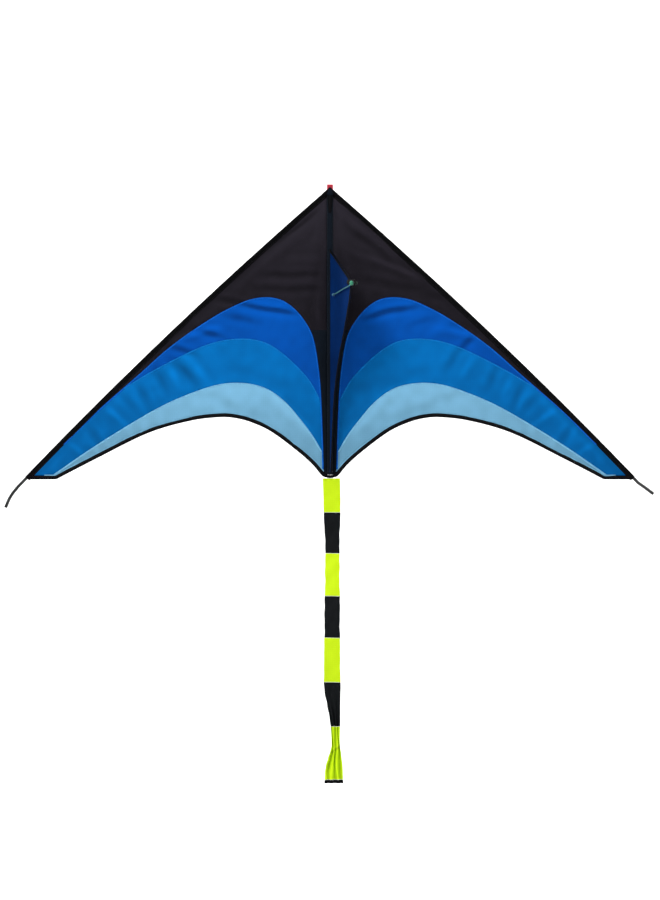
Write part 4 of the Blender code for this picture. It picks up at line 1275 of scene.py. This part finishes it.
class KITE_OT_seams(bpy.types.Operator):
    """Fell the seams between the panels and sew their stitches"""

    bl_idname = "kite.seams"
    bl_label = "Seams"

    def execute(self, context):
        settings = context.scene.kite_sail
        _, above, nose, upper, lower = sail_lines()
        cloth_face = settings.thickness / 2
        tape_rise = 0.00034
        fell = [(-0.0017, 0.0), (-0.0014, 0.00028), (0.0, tape_rise), (0.0014, 0.00028), (0.0017, 0.0)]
        section = [(a, cloth_face + o) for a, o in fell]
        strips = (
            ("nose_seam", nose, -0.0016, settings.royal, "sail_royal", 1.15),
            ("upper_seam", upper, -0.0014, settings.azure, "sail_azure", 0.95),
            ("lower_seam", lower, -0.0014, settings.sky, "sail_sky", 1.05),
            ("hem_seam", above[1:-1], 0.0010, settings.sky, "sail_sky", 0.80),
        )
        for side, suffix in SIDES:
            for name, line, shift, tint, slot, gain in strips:
                finish = finish_named(f"{name}_cloth", tape_finish, stronger(tint, gain), rough=0.66)
                middle = side_step(spaced(line, LINE_STEP)[1:-1], shift)
                shape = sweep(lying_on_sail(middle, side), lambda i: section)
                strip = piece_from(f"{name}_{suffix}", shape, finish, slot)
                thicken(strip, 0.0001, -side)
                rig.ride(strip, f"wing_{suffix}")

            def lie(point, lift):
                return on_sail(point, side, cloth_face + tape_rise + lift)

            seam = Seam(f"panel_stitches_{suffix}", settings.thread)
            for _, line, shift, *_ in strips[:3]:
                seam.row(side_step(spaced(line, LINE_STEP)[2:-1], shift), lie, settings.stitch, 0.0008)
            thread = finish_named("blue_thread", thread_finish, stronger(settings.azure, 1.25))
            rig.ride(seam.sewn(thread, "sail_azure"), f"wing_{suffix}")
        return {"FINISHED"}


class KITE_OT_trailing_binding(bpy.types.Operator):
    """Fold the black tape over the trailing edge and sew it down"""

    bl_idname = "kite.trailing_binding"
    bl_label = "Trailing Edge Binding"

    def execute(self, context):
        settings = context.scene.kite_sail
        trailing = sail_lines()[0]
        width, face = BINDING_WIDTH, 0.00066
        section = mirrored(
            [(width + 0.0006, 0.00035), (width, 0.0006), (width * 0.5, face), (0.0009, 0.0006)]
        )
        for side, suffix in SIDES:
            stations = lying_on_sail([trailing[0], *spaced(trailing, LINE_STEP)[1:]], side)
            place, _, out = stations[0]
            stations[0] = (place, Vector((0, 0, 1)), out)
            shape = sweep(stations, lambda i: section)
            piece = piece_from(f"trailing_tape_{suffix}", shape, binding_tape(), "binding")
            thicken(piece, 0.00025, -side)
            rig.replaces(piece, f"trailing_binding_{suffix}")
            bend_at_spine(piece, side)
            for label, facing in FACES:
                seam = Seam(f"binding_stitches_{label}_{suffix}", settings.thread)
                seam.row(
                    side_step(spaced(trailing, LINE_STEP)[2:], width * 0.72),
                    lambda p, lift: on_sail(p, side, facing * (face + lift)), settings.stitch, 0.0011,
                )
                bend_at_spine(seam.sewn(black_thread(), "binding"), side)
        return {"FINISHED"}


def sleeve_stations(start, end, count, side):
    """Stations along the middle of a sleeve, between two distances from the nose."""
    stations = []
    for i in range(count + 1):
        distance = start + (end - start) * i / count
        middle = edge_point(distance, SLEEVE_RADIUS)
        along = (edge_point(distance + 0.002) - edge_point(distance - 0.002)).normalized()
        stations.append((
            Vector((side * middle.x, 0, middle.y)), Vector((side * -along.y, 0, along.x)), OUT,
        ))
    return stations


def sleeve_section(radius, depth, ripple=0.0):
    """A spar's sleeve in section: round over the spar, then two hems that lie on the sail's faces."""
    edge = SLEEVE_RADIUS
    hem = [(-edge - 0.0052, 0.00034), (-edge - 0.0012, 0.00040), (-edge * 0.92, 0.0012)]
    turns = [math.radians(128 - 256 * step / 8) for step in range(9)]
    over = [((radius + ripple) * math.cos(turn), (depth + ripple) * math.sin(turn)) for turn in turns]
    return [*hem, *over, *((a, -o) for a, o in reversed(hem))]


class KITE_OT_sleeves(bpy.types.Operator):
    """Sew the sleeves that hold the leading edge spars, with an opening behind for the spreader clip"""

    bl_idname = "kite.sleeves"
    bl_label = "Leading Edge Sleeves"

    def execute(self, context):
        settings = context.scene.kite_sail
        cloth = finish_named("sleeve_cloth", sailcloth, settings.sleeve, tone=0.2, crease=0.0009)
        joins = distance_at(lambda p: -p.y, -SPREADER_UP, SLEEVE_RADIUS)
        start, end = SLEEVE_START, EDGE_LENGTH - SLEEVE_END_SHORT
        for side, suffix in SIDES:
            def section(i):
                ripple = 0.00022 * noise.noise(Vector((i * 0.35, side, 0.5)))
                return sleeve_section(SLEEVE_RADIUS, SLEEVE_RADIUS, ripple)

            shape = sweep(sleeve_stations(start, end, 170, side), section)
            clip = Vector((side * edge_point(joins).x, SPREADER_UP))
            middles = [(face, face.calc_center_median()) for face in shape.faces]
            hole = [face for face, at in middles if at.y > 0.0004 and (at.xz - clip).length < CLIP_OPENING]
            bmesh.ops.delete(shape, geom=hole, context="FACES")
            piece = piece_from(f"sleeve_cloth_{suffix}", shape, cloth, "sail_black")
            thicken(piece, 0.0003, -side)
            fit(piece, f"wing_{suffix}", f"sleeve_upper_{suffix}", f"sleeve_lower_{suffix}")

            stations = sleeve_stations(-0.001, start + 0.003, 14, side)
            shape = sweep(stations, lambda i: sleeve_section(SLEEVE_RADIUS + 0.0004, 0.0054))
            bmesh.ops.bisect_plane(
                shape, geom=[*shape.verts, *shape.edges, *shape.faces], dist=0.000002, plane_co=(0, 0, 0),
                plane_no=(side, 0, 0), clear_inner=True,
            )
            corner = piece_from(f"nose_edge_{suffix}", shape, cloth, "sail_black")
            bend_at_spine(thicken(corner, 0.0003, -side), side, start=0.0045, up=-0.01)

            line = edge_line(start + 0.004, end - 0.004, 2 * SLEEVE_RADIUS + 0.0022, 120)
            for label, facing in FACES:
                seam = Seam(f"sleeve_stitches_{label}_{suffix}", settings.thread)
                seam.row(
                    line, lambda p, lift: Vector((side * p.x, -facing * (0.00052 + lift), p.y)),
                    settings.stitch,
                )
                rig.ride(seam.sewn(black_thread(), "sail_black"), f"wing_{suffix}")
        return {"FINISHED"}


class KITE_OT_spine(bpy.types.Operator):
    """Sew the spine pocket, the nose loop and its patch, and the tab that the tail hangs from"""

    bl_idname = "kite.spine"
    bl_label = "Spine and Nose"

    def execute(self, context):
        sail, fittings = context.scene.kite_sail, context.scene.kite_fittings
        cloth = finish_named("pocket_cloth", sailcloth, sail.strip, tone=0.2, crease=0.0007)
        self.sew_pocket(cloth, sail)
        self.sew_loop(sail, fittings.webbing)
        self.cover_nose(cloth)
        self.sew_tail_tab()
        return {"FINISHED"}

    def sew_pocket(self, cloth, sail):
        def section(i):
            puff = 1 + 0.07 * noise.noise(Vector((i * 0.28, 1.0, 0.0)))
            turns = [2 * math.pi * step / 24 for step in range(25)]
            rise = POCKET_HALF_DEPTH * puff * 0.97
            return [
                (POCKET_HALF_WIDTH * math.cos(t), rise * math.copysign(abs(math.sin(t)) ** 1.5, math.sin(t)))
                for t in turns
            ]

        shape = sweep(upright(POCKET_TOP, POCKET_END, 116), section, closed=True)
        pocket = piece_from("pocket_cloth_spine", shape, cloth, "sail_black")
        fit(thicken(pocket, 0.0003, -1), "spine", "spine_pocket")
        for label, facing in FACES:
            seam = Seam(f"pocket_stitches_{label}", sail.thread)
            for across in (-0.0066, 0.0066):
                line = [Vector((across, POCKET_TOP - 0.012)), Vector((across, POCKET_END + 0.003))]
                seam.row(line, lambda p, lift: Vector((p.x, -facing * (0.0011 + lift), p.y)), sail.stitch)
            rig.ride(seam.sewn(black_thread(), "sail_black"), "spine")

    def sew_loop(self, sail, tint):
        """The hanging loop: webbing bent over the nose, with two rows of bar tacks on its front leg."""
        face, bend_up = 0.0044, 0.0026
        middle = face - 0.0005
        legs = [(middle, -0.0180), (middle, -0.0090), (middle, bend_up)]
        turns = [math.pi * i / 14 for i in range(1, 14)]
        over = [(middle * math.cos(t), bend_up + middle * math.sin(t)) for t in turns]
        path = smooth_line([*legs, *over, *((-a, u) for a, u in reversed(legs))], 0.0016)
        frames = []
        for i, point in enumerate(path):
            along = along_at(path, i)
            frames.append((Vector((0, -point.x, point.y)), ACROSS, Vector((0, -along.y, -along.x))))
        weave = [
            (-0.0075, 0.0), (-0.0071, 0.00042), (-0.0035, 0.0005), (0.0, 0.00046), (0.0035, 0.0005),
            (0.0071, 0.00042), (0.0075, 0.0), (0.0071, -0.00042), (0.0, -0.00046), (-0.0071, -0.00042),
            (-0.0075, 0.0),
        ]
        red = finish_named("red_webbing", webbing_finish, tint)
        shape = sweep(frames, lambda i: weave, closed=True, ends=True)
        fit(piece_from("nose_webbing", shape, red, "red_webbing"), "spine", "nose_loop")
        tacks = Seam("nose_bar_tacks", sail.thread * 1.3)
        for up in (-0.0120, -0.0155):
            row = [Vector((-0.0064, up)), Vector((0.0064, up))]
            tacks.row(row, lambda p, lift: Vector((p.x, -(face + lift), p.y)), 0.0011, 0.0008, 0.1)
        thread = finish_named("red_thread", thread_finish, lighter(tint, 0.12))
        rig.ride(tacks.sewn(thread, "red_webbing"), "spine")

    def cover_nose(self, cloth):
        """The hood over the loop's legs, and the patch below them."""
        def hood_section(i):
            reach = min(0.0020 + 0.0060 * i / 3, 0.0079)
            return [(reach * a / 4, -0.0016 * (a / 4) ** 4) for a in range(-4, 5)]

        hood_shape = sweep(upright(-0.0012, -0.0202, 8, lambda share: -0.0058 + 0.0006 * share), hood_section)
        hood = piece_from("nose_hood", hood_shape, cloth, "sail_black")
        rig.ride(thicken(hood, 0.0003, -1), "spine")

        rows = 12

        def patch_section(i):
            reach = 0.00675 + (0.003 - 0.00675) * i / rows
            return [(reach * a / 4, 0.0001 - 0.0011 * (a / 4) ** 2) for a in range(-4, 5)]

        patch_shape = sweep(upright(-0.0183, -0.0630, rows, lambda share: -0.0034), patch_section)
        patch = piece_from("nose_patch_tape", patch_shape, binding_tape(), "binding")
        fit(thicken(patch, 0.0005, -1), "spine", "nose_patch")

    def sew_tail_tab(self):
        (_, _, low), (wide, _, high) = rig.box("tail_tab")
        face = [(-wide, 0), (-wide * 0.95, 0.0005), (0, 0.0006), (wide * 0.95, 0.0005), (wide, 0)]
        section = [*face, *((a, -o) for a, o in face[-2::-1])]
        shape = sweep(upright(high, low, 8), lambda i: section, closed=True, ends=True)
        fit(piece_from("tail_hanger", shape, binding_tape(), "binding"), "spine", "tail_tab")


def keel_ripple(across, up):
    """How far the keel's cloth stands off its plane towards the leader's side."""
    settings = bpy.context.scene.kite_keel
    slow = noise.noise(Vector((across * 22.0, up * 13.0, 5.5)))
    quick = math.sin((across * 0.55 + up) * 150.0) * eased(across, 0.004, 0.03)
    return settings.pucker * (0.8 * slow + 0.25 * quick) - 0.0006 * eased(across, 0.0, 0.05)


def lying_on_keel(line):
    """Stations of a strip that lies on the keel along a flat line."""
    stations = []
    for i, point in enumerate(line):
        along = along_at(line, i)
        centre = on_keel(point.x, point.y, keel_ripple(*point))
        aside = on_keel(point.x - along.y, point.y + along.x) - on_keel(*point)
        stations.append((centre, aside, on_keel(0, 0, 1) - on_keel(0, 0, 0)))
    return stations


def tow_tab(reach):
    """A bmesh of the webbing tab, flat, round the eyelet at its centre and narrower at its root."""
    shape = bmesh.new()
    layer = shape.loops.layers.uv.new("UVMap")
    bmesh.ops.create_circle(shape, cap_ends=False, segments=40, radius=EYELET_BORE)
    grown = bmesh.ops.extrude_edge_only(shape, edges=shape.edges[:])["geom"]
    for vert in (item for item in grown if isinstance(item, bmesh.types.BMVert)):
        turn = math.atan2(vert.co.y, vert.co.x)
        across, up = math.cos(turn) * TAB_END_RADIUS, math.sin(turn) * TAB_END_RADIUS
        share = -math.cos(turn)
        if share > 0:
            across = -reach * min(1.0, share * 1.5) - 0.0055 * share
            up *= 1 - 0.39 * share
        vert.co = (across, up, 0)
    bmesh.ops.subdivide_edges(shape, edges=[e for e in shape.edges if not e.is_boundary], cuts=3)
    for vert in shape.verts:
        vert.co.z = 0.0 if vert.co.xy.length > EYELET_BORE + 0.0001 else -0.0001
    for face in shape.faces:
        for loop in face.loops:
            loop[layer].uv = (loop.vert.co.y, loop.vert.co.x)
    return shape


class KITE_OT_keel(bpy.types.Operator):
    """Cut the keel fin, bind its free edges and sew on its tow tabs"""

    bl_idname = "kite.keel"
    bl_label = "Keel"

    def execute(self, context):
        sail, keel = context.scene.kite_sail, context.scene.kite_keel
        cloth = finish_named("keel_cloth", sailcloth, keel.cloth, tone=0.35, crease=0.0009)
        upper = spaced([KEEL_TIP, KEEL_ROOT], LINE_STEP)
        trail = smooth_line((tuple(KEEL_TIP), *KEEL_TRAIL))
        outline = [*reversed(upper), *trail[1:], Vector((KEEL_ROOT.x, trail[-1].y))]
        shape = cut_cloth(outline, 0.006, lambda p: on_keel(p.x, p.y, keel_ripple(p.x, p.y)), lambda p: 0.5)
        fin = fit(thicken(piece_from("keel_fin", shape, cloth, "keel_blue"), 0.0003), "keel", "keel_panel")
        self.bind("upper", upper, 1, sail)
        self.bind("lower", trail, -1, sail)
        self.sew_tabs(sail)
        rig.sheet(fin, held="stretched", rests_on=["spine_pocket"], **cut_from(outline))
        return {"FINISHED"}

    def bind(self, edge, line, turn, sail):
        """Fold tape over a free edge. turn is 1 where the keel lies to the left of the line, and -1 where
        it lies to the right."""
        width = KEEL_BINDING
        section = mirrored([(width, 0.0004), (width * 0.9, 0.0007), (width * 0.5, 0.0008), (0.0008, 0.0007)])
        line = spaced(line, LINE_STEP)
        shape = sweep(lying_on_keel(line), lambda i: [(a * turn, o) for a, o in section])
        tape = piece_from(f"keel_tape_{edge}", shape, binding_tape(), "binding")
        fit(thicken(tape, 0.00025), "keel", f"keel_binding_{edge}")
        inner = side_step(line[1:-1], width * 0.78 * turn)
        for label, face in KEEL_FACES:
            seam = Seam(f"keel_tape_{edge}_stitches_{label}", sail.thread)
            seam.row(
                inner, lambda p, lift: on_keel(p.x, p.y, keel_ripple(*p) + face * (0.0009 + lift)),
                sail.stitch, 0.0009,
            )
            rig.ride(seam.sewn(black_thread(), "binding"), "keel")

    def sew_tabs(self, sail):
        """A webbing tab on each face of the tip, stitched in a box with a cross."""
        web = finish_named("black_webbing", webbing_finish, lighter(sail.tape, 0.012))
        outer, inner = Vector(EYELET), Vector(TAB_ROOT)
        reach = (outer - inner).length
        axis = (outer - inner).normalized()
        aside = left_of(axis)
        near, far = -reach - 0.0015, -reach + 0.0145
        corners = [(near, -0.0030), (far, -0.0046), (far, 0.0046), (near, 0.0030)]
        corners = [outer + axis * a + aside * b for a, b in corners]
        rows = [*zip(corners, corners[1:] + corners[:1]), corners[::2], corners[1::2]]
        for label, face in KEEL_FACES:
            shape = tow_tab(reach)
            for vert in shape.verts:
                flat = outer + axis * vert.co.x + aside * vert.co.y
                vert.co = on_keel(flat.x, flat.y, face * (0.0012 + vert.co.z))
            tab = piece_from(f"tow_webbing_{label}", shape, web, "binding")
            fit(thicken(tab, 0.0006), "keel", f"tow_tab_{label}")
            seam = Seam(f"tow_tab_stitches_{label}", sail.thread * 1.2)
            for row in rows:
                seam.row(row, lambda p, lift: on_keel(p.x, p.y, face * (0.00155 + lift)), 0.0026)
            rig.ride(seam.sewn(black_thread(), "binding"), "keel")


def ribbon_at(up):
    """(sideways, half width, turn, gather) of the tail ribbon at a height."""
    for (high, *above), (low, *below) in zip(TAIL_RIBBON, TAIL_RIBBON[1:]):
        if low <= up <= high + 1e-6:
            share = eased(high - up, 0, high - low) * 0.5 + 0.5 * (high - up) / (high - low)
            return [a + (b - a) * share for a, b in zip(above, below)]
    return list(TAIL_RIBBON[-1][1:])


def crossing_at(share):
    """The height at which the twisted end of the ribbon crosses over itself."""
    return -1.3775 + 0.009 * share


def on_ribbon(share, up):
    """A point of the tail ribbon: share runs from -1 at its left edge to 1 at its right edge."""
    settings = bpy.context.scene.kite_tail
    sideways, half, turn, gather = ribbon_at(up)
    turn = math.radians(turn)
    pleats = math.cos((share * 0.5 + 0.5) * 2 * math.pi * settings.pleats + 0.7 + up * 14.0)
    lean = 0.25 * gather * math.sin(share * 5.0 + up * 60.0)
    free = eased(TAIL_TOP - up, 0.0, 0.05)
    wave = settings.ripple * free * (
        math.sin(up * 58.0 + share * 1.1) + 0.6 * math.sin(up * 113.0 - share * 2.3)
    )
    edge = 0.0006 * free * math.sin(up * 190.0) * abs(share) ** 3
    across = half * share + lean
    out = gather * pleats + wave * (1 - 0.5 * abs(share)) + edge
    out += 0.0036 * eased(TAIL_NECK - up, 0.0, 0.03) * (1 - eased(crossing_at(share) - up, 0.0, 0.007))
    return Vector((
        sideways + across * math.cos(turn) - out * math.sin(turn),
        0.0005 - across * math.sin(turn) - out * math.cos(turn), up,
    ))


def ribbon_shade_mask(share, up):
    """How deep a point of the ribbon lies in a pleat or a fold, from 0 on a crest to 1, with a painted shadow band
    below the place where the ribbon crosses over itself: the mask of the ribbon's painted shade and highlight.
    """
    beside = (on_ribbon(share + 0.14, up).y + on_ribbon(share - 0.14, up).y) / 2
    beside = (beside + (on_ribbon(share, up + 0.006).y + on_ribbon(share, up - 0.006).y) / 2) / 2
    # Painted shadow under the place where the twisted end crosses over itself
    crossed = (crossing_at(share) - up) / 0.0045
    shade = (0.15 + 0.30 * max(share, 0.0)) * math.exp(-((crossed - 0.9) ** 2))
    return min(max(0.47 + (on_ribbon(share, up).y - beside) / 0.0050 + shade, 0.0), 1.0)


class KITE_OT_tail(bpy.types.Operator):
    """Sew the striped ribbon tail, with its folded and gathered end"""

    bl_idname = "kite.tail"
    bl_label = "Tail"

    def execute(self, context):
        tints = context.scene.kite_tail
        # Both stripes take painted shade in their pleats and folds and a painted highlight on the crests
        bright = finish_named(
            "tail_yellow_cloth", sailcloth, tints.yellow, tone=0.10, crease=0.0012, hollows=True
        )
        dark = finish_named("tail_black_cloth", sailcloth, tints.black, tone=0.2, crease=0.0012, hollows=True)
        columns = 44
        high = TAIL_TOP
        for name, low, bodies in TAIL_STRIPES:
            rows = max(3, round((high - low) / 0.0022))
            shape = sweep(
                upright(high - 0.0002, low + 0.0002, rows),
                lambda i: [(TAIL_FLAT_WIDTH / 2 * (2 * c / columns - 1), 0) for c in range(columns + 1)],
            )
            hollow = shape.verts.layers.float.new("hollow")
            for vert in shape.verts:
                share, up = vert.co.x / (TAIL_FLAT_WIDTH / 2), vert.co.z
                vert[hollow] = ribbon_shade_mask(share, up)
                vert.co = on_ribbon(share, up)
            is_hem = name == "tail_hem"
            finish, slot = (bright, "tail_yellow") if "yellow" in name else (dark, "sail_black")
            if is_hem:
                finish, slot = binding_tape(), "binding"
            piece = piece_from(f"{name}_ribbon", shape, finish, slot)
            thicken(piece, 0.0009 if is_hem else 0.0003)
            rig.replaces(piece, name)
            if len(bodies) == 2:
                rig.blend(piece, *bodies, start=(0, 0, high + 0.002), end=(0, 0, high - 0.012))
            else:
                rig.ride(piece, *bodies)
            if not is_hem:
                width, held = TAIL_FLAT_WIDTH, "hung"
                if high == TAIL_NECK:
                    width, held = GATHERED_FLAT_WIDTH, "gathered"
                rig.sheet(piece, flat=(width, high - low), held=held, rests_on=["tail_hanger"])
            high = low
        return {"FINISHED"}


class KITE_OT_frame(bpy.types.Operator):
    """Finish the rods, fittings and tubes of the frame, and part the spreader's centre tube at the spine"""

    bl_idname = "kite.frame"
    bl_label = "Frame Finishes"

    def execute(self, context):
        fittings = context.scene.kite_fittings
        rod = finish_named("fibreglass_rod", rod_finish, fittings.rod)
        plastic = finish_named("moulded_plastic", moulded_finish, fittings.plastic)
        vinyl = finish_named("vinyl_tube", vinyl_finish, fittings.vinyl)
        metal = finish_named("drawn_metal", metal_finish, fittings.metal)
        finishes = {
            "spine_rod": rod, "spar_upper": rod, "spar_lower": rod, "spreader_rod": rod,
            "spar_ferrule": metal,
            "spar_nose_cap": plastic, "spreader_clip": plastic, "tip_tube": vinyl, "tow_eyelet": metal,
        }
        for node in FRAME["nodes"]:
            stem = node.removesuffix("_left").removesuffix("_right")
            if stem in finishes:
                kept = bpy.data.objects[node]
                kept.data.materials.clear()
                kept.data.materials.append(finishes[stem])

        low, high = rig.box("spreader_centre_tube")
        reach, radius, rows = high[0], (high[2] - low[2]) / 2, 30

        def section(i):
            rounded = 0.0004 * (i in (0, rows))
            ribbed = 0.00012 * (i % 3 == 0)
            return ring(radius - rounded - ribbed, 20)

        for side, suffix in SIDES:
            stations = [
                (Vector((side * reach * i / rows, SPREADER_BEHIND, SPREADER_UP)), Vector((0, 0, 1)), -OUT)
                for i in range(rows + 1)
            ]
            half = piece_from(f"centre_tube_{suffix}", sweep(stations, section, closed=True), vinyl, "vinyl")
            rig.replaces(thicken(half, CENTRE_TUBE_WALL, -1), "spreader_centre_tube")
            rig.blend(
                half, "spine", f"wing_{suffix}", start=(side * 0.004, SPREADER_BEHIND, SPREADER_UP),
                end=(side * 0.020, SPREADER_BEHIND, SPREADER_UP),
            )
        return {"FINISHED"}


class KITE_PT_sidebar(bpy.types.Panel):
    """The kite's pieces, in the order in which they are made"""

    bl_label = "Delta Kite"
    bl_idname = "KITE_PT_sidebar"
    bl_space_type = "VIEW_3D"
    bl_region_type = "UI"
    bl_category = "Delta Kite"

    def draw(self, context):
        for attribute, (group, operators) in SECTIONS.items():
            box = self.layout.box()
            for operator in operators:
                box.operator(operator.bl_idname)
            for name in group.__annotations__:
                box.prop(getattr(context.scene, attribute), name)


SECTIONS = {
    "kite_studio": (KiteStudioSettings, (KITE_OT_studio,)),
    "kite_keel": (KiteKeelSettings, (KITE_OT_leader, KITE_OT_keel)),
    "kite_sail": (
        KiteSailSettings, (KITE_OT_sail_panels, KITE_OT_seams, KITE_OT_trailing_binding, KITE_OT_sleeves),
    ),
    "kite_fittings": (KiteFittingSettings, (KITE_OT_spine, KITE_OT_frame)),
    "kite_tail": (KiteTailSettings, (KITE_OT_tail,)),
}


def register():
    for attribute, (group, operators) in SECTIONS.items():
        for made in (group, *operators):
            bpy.utils.register_class(made)
        setattr(bpy.types.Scene, attribute, bpy.props.PointerProperty(type=group))
    bpy.utils.register_class(KITE_PT_sidebar)


def unregister():
    bpy.utils.unregister_class(KITE_PT_sidebar)
    for attribute, (group, operators) in reversed(SECTIONS.items()):
        delattr(bpy.types.Scene, attribute)
        for made in (*reversed(operators), group):
            bpy.utils.unregister_class(made)


def main():
    register()
    bpy.ops.kite.studio()
    bpy.ops.kite.leader()
    bpy.ops.kite.sail_panels()
    bpy.ops.kite.seams()
    bpy.ops.kite.trailing_binding()
    bpy.ops.kite.sleeves()
    bpy.ops.kite.spine()
    bpy.ops.kite.keel()
    bpy.ops.kite.tail()
    bpy.ops.kite.frame()
    with open("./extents.json", "w") as sizes:
        json.dump({"cad": [list(c) for c in CAD_BOX], "visual": [list(c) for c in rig.bounds()]}, sizes)


if __name__ == "__main__":
    main()
